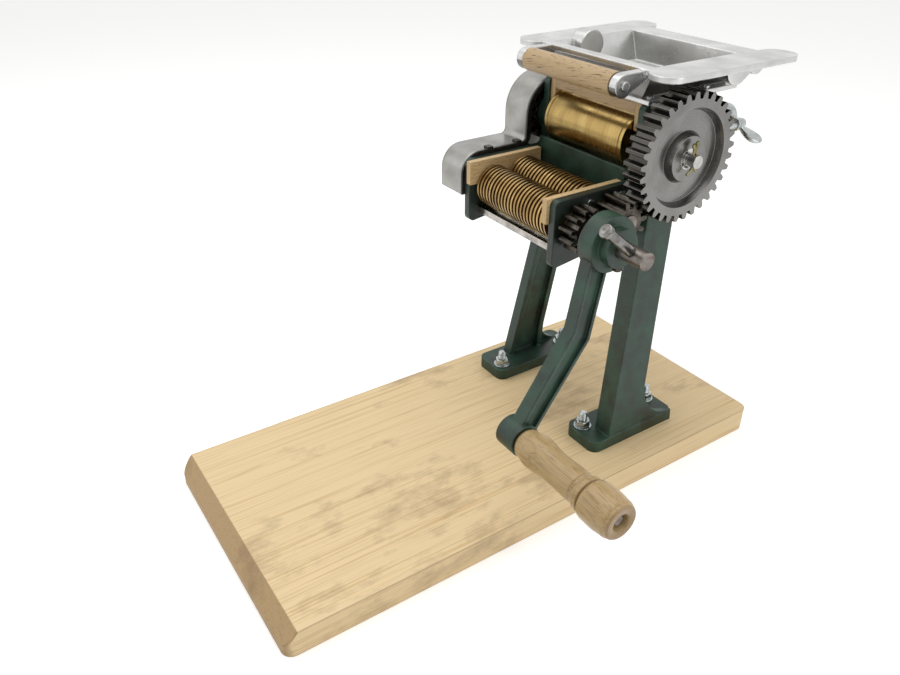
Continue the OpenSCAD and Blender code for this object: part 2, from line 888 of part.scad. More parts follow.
module comb(at, count, a0, a1) {
  translate([0, at[0], at[1]]) {
    along_x(-core_end, core_end)
      band(comb_out, comb_edge, comb_back[0], comb_back[1]);
    for (i = [0:count - 1])
      translate([(i - (count - 1) / 2) * ridge_pitch, 0, 0])
        along_x(-finger_w / 2, finger_w / 2)
          band(comb_in, comb_out + fine, a0, a1);
  }
}

module front_comb() {
  color([0.78, 0.68, 0.46])
    on_machine()
      comb(front_axis, ridges - 1, front_finger[0], front_finger[1]);
}

module rear_comb() {
  color([0.78, 0.68, 0.46])
    on_machine()
      comb(rear_axis, ridges - 2, rear_finger[0], rear_finger[1]);
}

// Cutter rolls, shafts, bushes and gears
module cutter_bushes() {
  color([0.74, 0.58, 0.34])
    on_machine()
      both_sides()
        for (a = [front_axis, rear_axis])
          difference() {
            union() {
              rod_x(cutter_bush_d, frame_in, frame_out, a);
              rod_x(cutter_bush_d + 2 * bush_lip, frame_out, frame_out + bush_lip, a);
            }
            rod_x(cutter_shaft_d + run, frame_in - 1, frame_out + bush_lip + 1, a);
          }
}

module cutter(at, count) {
  difference() {
    union() {
      rod_x(core_d, -core_end, core_end, at);
      for (i = [0:count - 1])
        translate([(i - (count - 1) / 2) * ridge_pitch, 0, 0])
          rod_x(cutter_d, -ridge_w / 2, ridge_w / 2, at);
    }
    rod_x(cutter_shaft_d + seat, -core_end - 1, core_end + 1, at);
  }
}

module front_cutter() {
  color([0.76, 0.68, 0.5])
    on_machine()
      cutter(front_axis, ridges);
}

module rear_cutter() {
  color([0.76, 0.68, 0.5])
    on_machine()
      cutter(rear_axis, ridges - 1);
}

module crank_shaft() {
  color([0.5, 0.48, 0.45])
    on_machine()
      difference() {
        rod_x(cutter_shaft_d, -cutter_shaft_in, shaft_end, front_axis);
        pin_hole();
      }
}

module pin_hole() {
  translate([pin_x, front_axis[0], front_axis[1]])
    rotate([drive_pin_angle, 0, 0])
      rod_y(drive_pin_d + seat, -cutter_shaft_d, cutter_shaft_d, [0, 0]);
}

module rear_cutter_shaft() {
  color([0.5, 0.48, 0.45])
    on_machine()
      rod_x(cutter_shaft_d, -cutter_shaft_in, idler_out + 2 * pass, rear_axis);
}

module pinion(turn, x0, x1, at) {
  difference() {
    gear_x(pinion_teeth, gear_module, pinion_add, pinion_ded, turn, x0, x1, at);
    rod_x(cutter_shaft_d + seat, x0 - 1, x1 + 1, at);
  }
}

module crank_pinion() {
  color([0.5, 0.5, 0.48])
    on_machine()
      pinion(turn_front, pinion_in, pinion_out, front_axis);
}

module idler_pinion() {
  color([0.5, 0.5, 0.48])
    on_machine()
      pinion(turn_rear, pinion_in, idler_out, rear_axis);
}

module front_cutter_gear() {
  color([0.5, 0.5, 0.48])
    on_machine()
      pinion(turn_front, -gear_side - cutter_gear_face, -gear_side, front_axis);
}

module rear_cutter_gear() {
  color([0.5, 0.5, 0.48])
    on_machine()
      pinion(turn_rear, -gear_side - cutter_gear_face, -gear_side, rear_axis);
}

// Crank arm, pins and handle
module at_crank() {
  translate([0, front_axis[0], front_axis[1]])
    rotate([crank_angle, 0, 0])
      children();
}

module arm_side(inset) {
  w0 = arm_w_hub / 2 - inset;
  w1 = arm_w_end / 2 - inset;
  polygon([[0, -w0], [crank_r, -w1], [crank_r, w1], [0, w0]]);
}

module arm_plan(shift) {
  translate([shift, 0])
    polygon([
      [arm_in, 0],
      [arm_in + arm_t, 0],
      [arm_in + arm_t, step_start],
      [arm_mid + arm_t, step_end],
      [arm_mid + arm_t, crank_r],
      [arm_mid, crank_r],
      [arm_mid, step_end],
      [arm_in, step_start]
    ]);
}

module arm_bar(inset, shift) {
  intersection() {
    along_x(arm_in, arm_mid + 3 * arm_t)
      arm_side(inset);
    translate([0, 0, -arm_w_hub])
      linear_extrude(2 * arm_w_hub)
        arm_plan(shift);
  }
}

module crank_arm() {
  color([0.14, 0.22, 0.2])
    on_machine()
      at_crank()
        difference() {
          union() {
            difference() {
              arm_bar(0, 0);
              arm_bar(recess, arm_t - recess);
            }
            rod_x(arm_hub_d, hub_in, hub_out, [0, 0]);
            rod_x(hub_top_d, hub_out, hub_top, [0, 0]);
            rod_x(end_boss_d, end_boss_in, end_boss_out, [crank_r, 0]);
          }
          rod_x(cutter_shaft_d + seat, hub_in - 1, hub_top + 1, [0, 0]);
          rod_x(spindle_d + seat, end_boss_in - 1, end_boss_out + 1, [crank_r, 0]);
          rotate([clamp_angle, 0, 0])
            rod_y(clamp_d + seat, 0, hub_top_d, [clamp_x, 0]);
        }
}

module clamp_screw() {
  color([0.2, 0.2, 0.2])
    on_machine()
      at_crank()
        rotate([clamp_angle, 0, 0]) {
          rod_y(clamp_d, cutter_shaft_d / 2 + 0.1, clamp_seat, [clamp_x, 0]);
          rod_y(clamp_head_d, clamp_seat, clamp_seat + clamp_head, [clamp_x, 0]);
        }
}

module drive_pin() {
  color([0.72, 0.71, 0.68])
    on_machine()
      translate([pin_x, front_axis[0], front_axis[1]])
        rotate([drive_pin_angle, 0, 0]) {
          rod_y(drive_pin_d, -cutter_shaft_d / 2 - pin_tail, drive_pin_r, [0, 0]);
          rod_y(1.35 * drive_pin_d, drive_pin_r, drive_pin_r + pin_head, [0, 0]);
        }
}

module handle_spindle() {
  color([0.55, 0.53, 0.5])
    on_machine()
      at_crank() {
        rod_x(2 * spindle_d, end_boss_in - spindle_collar, end_boss_in, [crank_r, 0]);
        rod_x(spindle_d, end_boss_in, grip_out - spindle_collar, [crank_r, 0]);
      }
}

module spindle_nut() {
  nut_in = grip_out - end_hole_l + pass;
  color([0.5, 0.48, 0.45])
    on_machine()
      at_crank()
        difference() {
          hex_x(1.5 * spindle_d, nut_in, nut_in + spindle_nut_h, [crank_r, 0]);
          rod_x(spindle_d + seat, nut_in - 1, nut_in + spindle_nut_h + 1, [crank_r, 0]);
        }
}

module handle_grip() {
  color([0.68, 0.52, 0.34])
    on_machine()
      at_crank()
        difference() {
          translate([grip_in, crank_r, 0])
            rotate([0, 90, 0])
              rotate_extrude()
                polygon(concat([[0, 0]], [for (p = grip_curve()) [p[1], p[0] * grip_l]], [[0, grip_l]]));
          rod_x(spindle_d + run, grip_in - 1, grip_out + 1, [crank_r, 0]);
          rod_x(end_hole_d, grip_out - end_hole_l, grip_out + 1, [crank_r, 0]);
        }
}

// Smooth rollers, their gears and bearings
module roller(at) {
  difference() {
    rod_x(roller_d, -roller_end, roller_end, at);
    rod_x(roller_shaft_d + seat, -roller_end - 1, roller_end + 1, at);
    for (s = [-1, 1])
      translate([s * (roller_end - ring_in), at[0], at[1]])
        rotate([0, 90, 0])
          rotate_extrude()
            translate([roller_d / 2, 0])
              circle(d = ring_d, $fn = 16);
  }
}

module front_roller() {
  color([0.78, 0.7, 0.54])
    on_machine()
      roller(roller_axis);
}

module rear_roller() {
  color([0.78, 0.7, 0.54])
    on_machine()
      roller(back_axis);
}

module front_roller_shaft() {
  color([0.45, 0.38, 0.33])
    on_machine()
      difference() {
        union() {
          rod_x(roller_shaft_d, -roller_shaft_in, big_out, roller_axis);
          rod_x(shaft_tip_d, big_out - fine, big_out + shaft_tip_l, roller_axis);
        }
        translate([split_x, roller_axis[0], roller_axis[1]])
          rod_z(split_d + seat, -shaft_tip_d, shaft_tip_d, [0, 0]);
      }
}

module split_pin() {
  color([0.72, 0.58, 0.36])
    on_machine()
      translate([split_x, roller_axis[0], roller_axis[1]]) {
        rod_z(split_d, -split_reach, split_reach, [0, 0]);
        translate([0, 0, split_reach + split_eye - 1])
          rotate([0, 90, 0])
            rotate_extrude()
              translate([split_eye, 0])
                circle(d = split_wire, $fn = 24);
      }
}

module big_gear() {
  rim_r = big_teeth * gear_module / 2 - big_ded - gear_rim;
  color([0.52, 0.52, 0.5])
    on_machine()
      difference() {
        gear_x(big_teeth, gear_module, big_add, big_ded, turn_big, big_in, big_out, roller_axis);
        translate([big_out, roller_axis[0], roller_axis[1]])
          rotate([0, 90, 0])
            rotate_extrude()
              polygon([
                [gear_hub_d / 2, fine],
                [gear_hub_d / 2 + dish_wall, -gear_dish],
                [rim_r - dish_wall, -gear_dish],
                [rim_r, fine]
              ]);
        rod_x(roller_shaft_d + seat, big_in - 1, big_out + 1, roller_axis);
      }
}

module roller_gear(turn, at) {
  x0 = -gear_side - roller_gear_face;
  difference() {
    gear_x(roller_teeth, roller_module, roller_add, roller_ded, turn, x0, -gear_side, at);
    rod_x(roller_shaft_d + seat, x0 - 1, -gear_side + 1, at);
  }
}

module front_roller_gear() {
  color([0.5, 0.5, 0.48])
    on_machine()
      roller_gear(0, roller_axis);
}

module rear_roller_gear() {
  color([0.5, 0.5, 0.48])
    on_machine()
      roller_gear(turn_back, back_axis);
}

module roller_bushes() {
  color([0.74, 0.58, 0.34])
    on_machine() {
      roller_bush(frame_in, big_in - pass);
      roller_bush(-frame_out - lip_t, -frame_in);
    }
}

module roller_bush(x0, x1) {
  difference() {
    rod_x(roller_bush_d, x0, x1, roller_axis);
    rod_x(roller_shaft_d + run, x0 - 1, x1 + 1, roller_axis);
  }
}

module rear_roller_shaft() {
  color([0.45, 0.38, 0.33])
    on_machine()
      rod_x(roller_shaft_d, -gear_side - roller_gear_face - 2, frame_out + lip_t + 2, back_axis);
}

module block() {
  half = block_size / 2;
  difference() {
    union() {
      translate([frame_in, back_axis[0] - half, back_axis[1] - half])
        cube([plate_t, block_size, block_size]);
      translate([frame_out + fine, back_axis[0] - half, back_axis[1] - half - block_lip])
        cube([lip_t - fine, block_size, block_size + 2 * block_lip]);
      translate([frame_out - fine, back_axis[0] - half, back_axis[1] - half])
        cube([3 * fine, block_size, block_size]);
    }
    rod_x(roller_shaft_d + seat + run, frame_in - 1, frame_out + lip_t + 1, back_axis);
    rod_y(tip_d + run, back_axis[0] + half - socket, back_axis[0] + half + 1, [screw_x, back_axis[1]]);
  }
}

module right_block() {
  color([0.3, 0.3, 0.3])
    on_machine()
      block();
}

module left_block() {
  color([0.3, 0.3, 0.3])
    on_machine()
      mirror([1, 0, 0])
        block();
}

module wing_screw() {
  rear = back_axis[0] + block_size / 2;
  rod_y(tip_d, rear - socket + pass, rear + 1, [screw_x, back_axis[1]]);
  rod_y(wing_screw_d, rear + pass, wing_y + wing_l, [screw_x, back_axis[1]]);
  rod_y(1.7 * wing_screw_d, wing_y, wing_y + wing_l, [screw_x, back_axis[1]]);
  translate([screw_x, wing_y, back_axis[1]])
    rotate([0, -wing_turn, 0])
      translate([0, 0, -wing_t / 2])
        for (s = [-1, 1]) {
          translate([s * (wing_span / 2 - ear_r), wing_l - 3, 0])
            cylinder(r = ear_r, h = wing_t);
          translate([s * wing_span / 6 - wing_span / 6, 1, 0])
            cube([wing_span / 3, wing_l - 2, wing_t]);
        }
}

module right_wing_screw() {
  color([0.66, 0.65, 0.61])
    on_machine()
      wing_screw();
}

module left_wing_screw() {
  color([0.66, 0.65, 0.61])
    on_machine()
      mirror([1, 0, 0])
        wing_screw();
}

// Hopper, guide roller and throat
module bowl(wall) {
  intersection() {
    along_x(-hopper_w, hopper_w)
      polygon([
        [bowl_front - wall, hopper_top],
        [bowl_rear + wall, hopper_top],
        [bowl_rear - bowl_lean + wall, seat_top],
        [throat_front - wall, seat_top]
      ]);
    rotate([90, 0, 0])
      translate([0, 0, -board_l / 2])
        linear_extrude(board_l)
          polygon([
            [-bowl_x - wall, hopper_top],
            [bowl_x + wall, hopper_top],
            [throat_x + wall, seat_top],
            [-throat_x - wall, seat_top]
          ]);
  }
}

module hopper_flange() {
  translate([0, 0, flange_low])
    linear_extrude(hopper_t) {
      translate([-wing_in - wing_corner, hopper_front])
        square([2 * (wing_in + wing_corner), hopper_rear - hopper_front]);
      both_sides()
        plate(wing_in, hopper_w / 2, hopper_front - wing_lead, hopper_rear + wing_tail, wing_corner);
    }
}

module guide_ear() {
  along_x(ear_in, ear_in + ear_t) {
    translate(guide_axis)
      circle(d = ear_d);
    polygon([
      [guide_axis[0], guide_axis[1] + ear_d / 2],
      [ear_root, hopper_top - 1],
      [ear_root, flange_low - 1],
      [guide_axis[0], guide_axis[1] - ear_d / 2]
    ]);
  }
}

module rear_lug() {
  difference() {
    along_x(lug_x, lug_x + lug_t)
      polygon(concat(
        [[lug_at[0] + lug_r, flange_low + 1], [lug_web[0] - lug_web_r, flange_low + 1]],
        arc(lug_web, lug_web_r, 180, 300),
        arc(lug_at, lug_r, 225, 360)
      ));
    rod_x(lug_hole_d, lug_x - 1, lug_x + lug_t + 1, lug_at);
  }
}

module hopper() {
  color([0.74, 0.74, 0.72])
    on_machine()
      difference() {
        union() {
          hopper_flange();
          bowl(bowl_wall);
          translate([-frame_out - 1, seat_front, head_top])
            cube([2 * frame_out + 2, seat_rear - seat_front, seat_t]);
          both_sides() {
            guide_ear();
            rear_lug();
          }
          rod_x(tab_d, -bowl_x - bowl_wall, -bowl_x + tab_l, tab_at);
        }
        difference() {
          bowl_cut();
          rod_x(tab_d, -bowl_x - bowl_wall, -bowl_x + tab_l, tab_at);
        }
        both_sides() {
          rod_x(axle_d + seat, ear_in - 1, ear_in + ear_t + 1, guide_axis);
          for (y = hopper_screw_y)
            rod_z(hopper_screw_d + seat, head_top - 1, seat_top + 1, [hopper_screw_x, y]);
        }
      }
}

module bowl_cut() {
  bowl(0);
  translate([-bowl_x, bowl_front, hopper_top - fine])
    cube([2 * bowl_x, bowl_rear - bowl_front, 1]);
  translate([-throat_x, throat_front, head_top - 1])
    cube([2 * throat_x, throat_l, seat_t + 1 + fine]);
}

module hopper_screws() {
  color([0.55, 0.54, 0.5])
    on_machine()
      both_sides()
        for (y = hopper_screw_y) {
          rod_z(hopper_screw_d, head_top - hopper_screw_l, seat_top, [hopper_screw_x, y]);
          rod_z(1.6 * hopper_screw_d, seat_top, seat_top + hopper_head_t, [hopper_screw_x, y]);
        }
}

module guide_roller() {
  color([0.72, 0.56, 0.38])
    on_machine()
      difference() {
        rod_x(guide_d, -guide_end, guide_end, guide_axis);
        rod_x(axle_d + run, -guide_end - 1, guide_end + 1, guide_axis);
      }
}

module guide_axle() {
  tip = ear_in + ear_t;
  color([0.6, 0.6, 0.57])
    on_machine() {
      rod_x(axle_d, -tip, tip, guide_axis);
      both_sides()
        rod_x(1.6 * axle_d, tip, tip + axle_head, guide_axis);
    }
}

module throat_cheek() {
  translate([beech_in, strip_front, cheek_board_low])
    cube([beech_t, cheek_board_rear - strip_front, head_top - cheek_board_low]);
}

module throat_cheek_right() {
  color([0.78, 0.62, 0.44])
    on_machine()
      throat_cheek();
}

module throat_cheek_left() {
  color([0.78, 0.62, 0.44])
    on_machine()
      mirror([1, 0, 0])
        throat_cheek();
}

module throat_strip() {
  color([0.78, 0.62, 0.44])
    on_machine()
      translate([-beech_in, strip_front, strip_low])
        cube([2 * beech_in, strip_t, head_top - strip_low]);
}

// Gear cover
module cover_outline(inset, drop) {
  nose = cover_nose - inset;
  front = front_axis[0] - cover_front + inset;
  top = cover_step_z - inset;
  step = cover_y + inset;
  r = cover_r - inset;
  rear = back_axis[0] + r;
  neck = cover_neck + inset;
  polygon(concat(
    [[front, cover_sill - drop]],
    arc([front + nose, top - nose], nose, 180, 90),
    arc([step - neck, top + neck], neck, 270, 360, 8),
    arc(roller_axis, r, 180, 90),
    arc(back_axis, r, 90, 0),
    [
      [rear, head_low - drop],
      [roller_axis[0], cover_sill + cover_slope / 2 - drop],
      [rear_axis[0] + cutter_gap / 2, cover_sill - cover_dip - drop],
      [front_axis[0] + cover_slope, cover_sill - cover_dip - drop],
      [front_axis[0], cover_sill - drop]
    ]
  ));
}

module gear_cover() {
  color([0.72, 0.72, 0.7])
    on_machine()
      difference() {
        along_x(-cover_out, -cover_in)
          cover_outline(0, 0);
        along_x(-cover_out + cover_t, -cover_in + 1)
          cover_outline(cover_t, cover_open);
        for (at = cover_studs_at)
          rod_x(stud_d + seat, -cover_out - 1, -cover_in, at);
      }
}

module cover_rim() {
  color([0.08, 0.08, 0.08])
    on_machine() {
      along_x(-cover_in, -frame_out)
        difference() {
          cover_outline(0, 0);
          cover_outline(rim_w, cover_open);
          translate([back_axis[0], 0])
            square(2 * head_top);
        }
      for (y = clip_y)
        translate([-cover_in - clip_out, y, cover_step_z])
          cube([cover_in + clip_out - frame_out, clip_l, clip_t]);
    }
}

module cover_studs() {
  color([0.6, 0.59, 0.55])
    on_machine()
      for (at = cover_studs_at)
        rod_x(stud_d, -cover_out - stud_out, -frame_in, at);
}

module cover_nuts() {
  color([0.66, 0.64, 0.58])
    on_machine()
      for (at = cover_studs_at)
        difference() {
          hex_x(cover_nut_af, -cover_out - cover_nut_h, -cover_out, at);
          rod_x(stud_d + seat, -cover_out - cover_nut_h - 1, -cover_out + 1, at);
        }
}

base_board();
frame_bolts();
frame_washers();
frame_nuts();
left_frame();
right_frame();
cross_stay();
stay_screws();
cutter_board_left();
cutter_board_right();
board_screws();
front_bar();
rear_bar();
front_comb();
rear_comb();
cutter_bushes();
front_cutter();
crank_shaft();
crank_pinion();
front_cutter_gear();
rear_cutter();
rear_cutter_shaft();
idler_pinion();
rear_cutter_gear();
crank_arm();
clamp_screw();
drive_pin();
handle_spindle();
spindle_nut();
handle_grip();
front_roller();
front_roller_shaft();
big_gear();
split_pin();
front_roller_gear();
roller_bushes();
rear_roller();
rear_roller_shaft();
rear_roller_gear();
left_block();
right_block();
left_wing_screw();
right_wing_screw();
hopper();
hopper_screws();
guide_roller();
guide_axle();
throat_cheek_left();
throat_cheek_right();
throat_strip();
gear_cover();
cover_rim();
cover_studs();
cover_nuts();
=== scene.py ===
"""Hand-cranked noodle machine on a plank: finishes, fine detail, studio light and camera.

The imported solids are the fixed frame. Each sub-assembly is a class that dresses its nodes in real
finishes and puts finely made pieces in place of the small solids: threads, nuts, wing screws, the
split pin and the turned grip. Sizes are in millimetres in the same frame as the solids.
"""

import logging
import math
from dataclasses import dataclass
from enum import Enum
from functools import partial
from typing import Any, Callable, Iterable, Sequence

import bmesh
import bpy
from mathutils import Matrix, Vector


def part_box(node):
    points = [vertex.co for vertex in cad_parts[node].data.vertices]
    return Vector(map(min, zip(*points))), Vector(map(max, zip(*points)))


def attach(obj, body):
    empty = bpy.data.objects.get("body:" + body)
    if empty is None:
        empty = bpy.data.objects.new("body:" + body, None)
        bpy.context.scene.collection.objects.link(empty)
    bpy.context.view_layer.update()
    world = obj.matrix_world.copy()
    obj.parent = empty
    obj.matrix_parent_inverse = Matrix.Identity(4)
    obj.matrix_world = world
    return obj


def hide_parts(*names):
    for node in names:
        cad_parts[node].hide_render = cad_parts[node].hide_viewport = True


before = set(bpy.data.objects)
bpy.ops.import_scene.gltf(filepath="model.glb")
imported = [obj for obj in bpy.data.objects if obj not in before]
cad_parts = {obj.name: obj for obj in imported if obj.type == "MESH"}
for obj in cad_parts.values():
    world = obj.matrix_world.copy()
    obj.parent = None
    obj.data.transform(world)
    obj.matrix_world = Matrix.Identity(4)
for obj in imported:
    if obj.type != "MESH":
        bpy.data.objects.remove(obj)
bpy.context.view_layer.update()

LOG = logging.getLogger("noodle_machine")
MM = 0.001
EDGE_SAMPLES = 6
# Cosines between the flat and the rounded normal where an edge starts and where it is full.
EDGE_START, EDGE_FULL = 0.985, 0.84
# Offsets in millimetres that keep a second pattern off the first one.
STAIN_SHIFT, SPOT_SHIFT = (9.0, 4.0, 2.0), (7.0, 3.0, 1.0)
Point = tuple[float, float, float]
Colour = tuple[float, float, float, float]
Node = bpy.types.Node
Put = Callable[..., Node]
Socket = bpy.types.NodeSocket
Tree = bpy.types.NodeTree


class Slot(Enum):
    """Material slots of the part's record."""

    PINE = "pine"
    GREEN_PAINT = "green_paint"
    ZINC_STEEL = "zinc_steel"
    DARK_STEEL = "dark_steel"
    BRIGHT_STEEL = "bright_steel"
    GEAR_STEEL = "gear_steel"
    BRASS = "brass"
    BRONZE = "bronze"
    BEECH = "beech"
    OAK = "oak"
    CAST_ALUMINIUM = "cast_aluminium"
    POLISHED_ALUMINIUM = "polished_aluminium"
    BLACK_PAINT = "black_paint"


class Axis(Enum):
    """Directions of the part's frame, as indices into a point."""

    X = 0
    Y = 1
    Z = 2


def linear(hex_colour: str) -> Colour:
    """Turns an sRGB hex colour to linear RGBA.

    Args:
        hex_colour: six hex digits after a hash.

    Returns:
        Linear red, green, blue and full alpha.
    """
    parts = [int(hex_colour[i:i + 2], 16) / 255 for i in (1, 3, 5)]
    red, green, blue = (c / 12.92 if c <= 0.04045 else ((c + 0.055) / 1.055) ** 2.4 for c in parts)
    return red, green, blue, 1.0


def add_node(
    tree: Tree, kind: str, inputs: dict[int | str, Any] | None = None,
    stops: Sequence[tuple[float, str]] = (), **settings: Any,
) -> Node:
    """Adds one shader node with its settings and links.

    Args:
        tree: node tree that takes the node.
        kind: class name after ShaderNode.
        inputs: values, hex colours, output sockets, or nodes for their first live output.
        stops: places and hex colours of a colour ramp.
        settings: the node's own attributes.

    Returns:
        The new node.
    """
    node = tree.nodes.new("ShaderNode" + kind)
    for name, value in settings.items():
        setattr(node, name, value)
    for key, value in (inputs or {}).items():
        if isinstance(value, str):
            value = linear(value)
        if isinstance(value, Node):
            value = next(out for out in value.outputs if out.enabled)
        if isinstance(value, Socket):
            tree.links.new(value, node.inputs[key])
        else:
            node.inputs[key].default_value = value
    if stops:
        elements = node.color_ramp.elements
        while len(elements) < len(stops):
            elements.new(1.0)
        for element, (place, colour) in zip(elements, stops):
            element.position = place
            element.color = linear(colour)
    return node


@dataclass(frozen=True)
class Finish:
    """A surface finish, named for the real material and how it was made."""

    name: str
    slot: Slot

    def material(self) -> bpy.types.Material:
        """Makes this finish's material, or finds it where it was made before.

        Returns:
            The material.
        """
        found = bpy.data.materials.get(self.name)
        if found:
            return found
        made = bpy.data.materials.new(self.name)
        made.use_nodes = True
        made.node_tree.nodes.clear()
        put = partial(add_node, made.node_tree)
        put("OutputMaterial", {"Surface": self.shade(put)})
        return made

    def shade(self, put: Put) -> Node:
        """Builds the shader; each kind of finish has its own.

        Args:
            put: adds a node to the material's tree.

        Returns:
            The shader node.
        """
        raise NotImplementedError

    def space(self, put: Put, size: Point, centre: Point = (0.0, 0.0, 0.0)) -> Socket:
        """Object coordinates counted in pattern sizes.

        Args:
            put: adds a node to the material's tree.
            size: size of the pattern along X, Y and Z in millimetres.
            centre: point in millimetres that the coordinates are taken from.

        Returns:
            Vector socket for a texture of scale 1.
        """
        place = put("TexCoord").outputs["Object"]
        shift = {0: place, 1: tuple(c * MM for c in centre)}
        moved = put("VectorMath", shift, operation="SUBTRACT")
        scaled = {0: moved, 1: tuple(1 / (s * MM) if s else 0.0 for s in size)}
        return put("VectorMath", scaled, operation="MULTIPLY").outputs[0]

    def edges(self, put: Put, radius: float) -> tuple[Socket, Socket]:
        """Softens the edges that a solid has sharp.

        Args:
            put: adds a node to the material's tree.
            radius: radius of the rounding in millimetres.

        Returns:
            Normal of the rounded surface, and a mask that is 1 on the edges.
        """
        bevel = put("Bevel", {"Radius": radius * MM}, samples=EDGE_SAMPLES)
        flat = put("NewGeometry").outputs["Normal"]
        level = put("VectorMath", {0: bevel, 1: flat}, operation="DOT_PRODUCT")
        span = {"Value": level, "From Min": EDGE_START, "From Max": EDGE_FULL}
        mask = put("MapRange", span)
        return bevel.outputs[0], mask.outputs[0]

    def patches(
        self, put: Put, where: Socket, detail: float, span: tuple[float, float],
        share: float = 1.0, roughness: float = 0.5,
    ) -> tuple[Node, Node]:
        """Scatters soft patches over the surface.

        Args:
            put: adds a node to the material's tree.
            where: pattern space that the patches lie in.
            detail: number of finer layers.
            span: noise levels at which a patch starts and is full.
            share: how much a full patch counts.
            roughness: strength of the finer layers.

        Returns:
            The noise, and how much of a patch is at each point.
        """
        noise = put("TexNoise", {
            "Vector": where, "Scale": 1.0, "Detail": detail, "Roughness": roughness,
        })
        start, full = span
        level = {"Value": noise, "From Min": start, "From Max": full, "To Max": share}
        return noise, put("MapRange", level)


@dataclass(frozen=True)
class PaintedIron(Finish):
    """Oil enamel brushed on sand-cast iron: pebbled skin, half gloss, rubbed thin on the edges."""

    deep: str = "#15291e"
    pale: str = "#2f5040"
    rubbed: str = "#66736a"
    rubbed_share: float = 0.55
    grime: str = "#191a14"
    grime_share: float = 0.6
    pebble: float = 1.6  # moulding sand is about 0.4 mm; drawn coarser so that it shows
    pebble_depth: float = 0.4
    cloud: float = 22.0
    stain: float = 15.0
    # Darkening towards a point: its centre, reach, share and ragged edge.
    dark_centre: Point = (0.0, 0.0, 0.0)
    dark_reach: float = 60.0
    dark_share: float = 0.0
    dark_ragged: float = -0.7
    edge: float = 1.6

    def shade(self, put: Put) -> Node:
        """Builds the enamel: clouded colour, grime, darkening near a point, rubbed edges, pebbled
        bump.

        Args:
            put: adds a node to the material's tree.

        Returns:
            The shader node.
        """
        normal, mask = self.edges(put, self.edge)
        cloud, patchy = self.patches(put, self.space(put, (self.cloud,) * 3), 5.0, (0.42, 0.66))
        pebble = put("TexNoise", {
            "Vector": self.space(put, (self.pebble,) * 3), "Scale": 1.0, "Detail": 3.0,
        })
        coat = put("ValToRGB", {0: cloud}, stops=((0.3, self.deep), (0.72, self.pale)))
        thin = put("Math", {0: mask, 1: patchy}, operation="MULTIPLY")
        worn = put("Math", {0: thin, 1: self.rubbed_share}, operation="MULTIPLY")
        bare = put("Mix", {0: worn, 6: coat, 7: self.rubbed}, data_type="RGBA")
        stains = self.space(put, (self.stain,) * 3, STAIN_SHIFT)
        grime_noise, dirty = self.patches(put, stains, 7.0, (0.5, 0.68), self.grime_share)
        # Darker towards a centre point, with an edge broken by the grime noise.
        flat = self.space(put, (0.0, self.dark_reach, self.dark_reach), self.dark_centre)
        away = put("VectorMath", {0: flat}, operation="LENGTH")
        ragged = put("Math", {0: grime_noise, 1: self.dark_ragged, 2: away}, operation="MULTIPLY_ADD")
        near_centre = put("MapRange", {
            "Value": ragged, "From Min": 0.65, "From Max": 0.1, "To Max": self.dark_share,
        })
        dimmed = put("Math", {0: dirty, 1: near_centre}, operation="MAXIMUM")
        colour = put("Mix", {0: dimmed, 6: bare, 7: self.grime}, data_type="RGBA")
        gloss = put("MapRange", {
            "Value": cloud, "From Min": 0.3, "From Max": 0.7, "To Min": 0.34, "To Max": 0.52,
        })
        bump = put("Bump", {
            "Height": pebble, "Normal": normal,
            "Strength": 0.35, "Distance": self.pebble_depth * MM,
        })
        return put("BsdfPrincipled", {
            "Base Color": colour, "Roughness": gloss, "Normal": bump, "IOR": 1.5,
        })


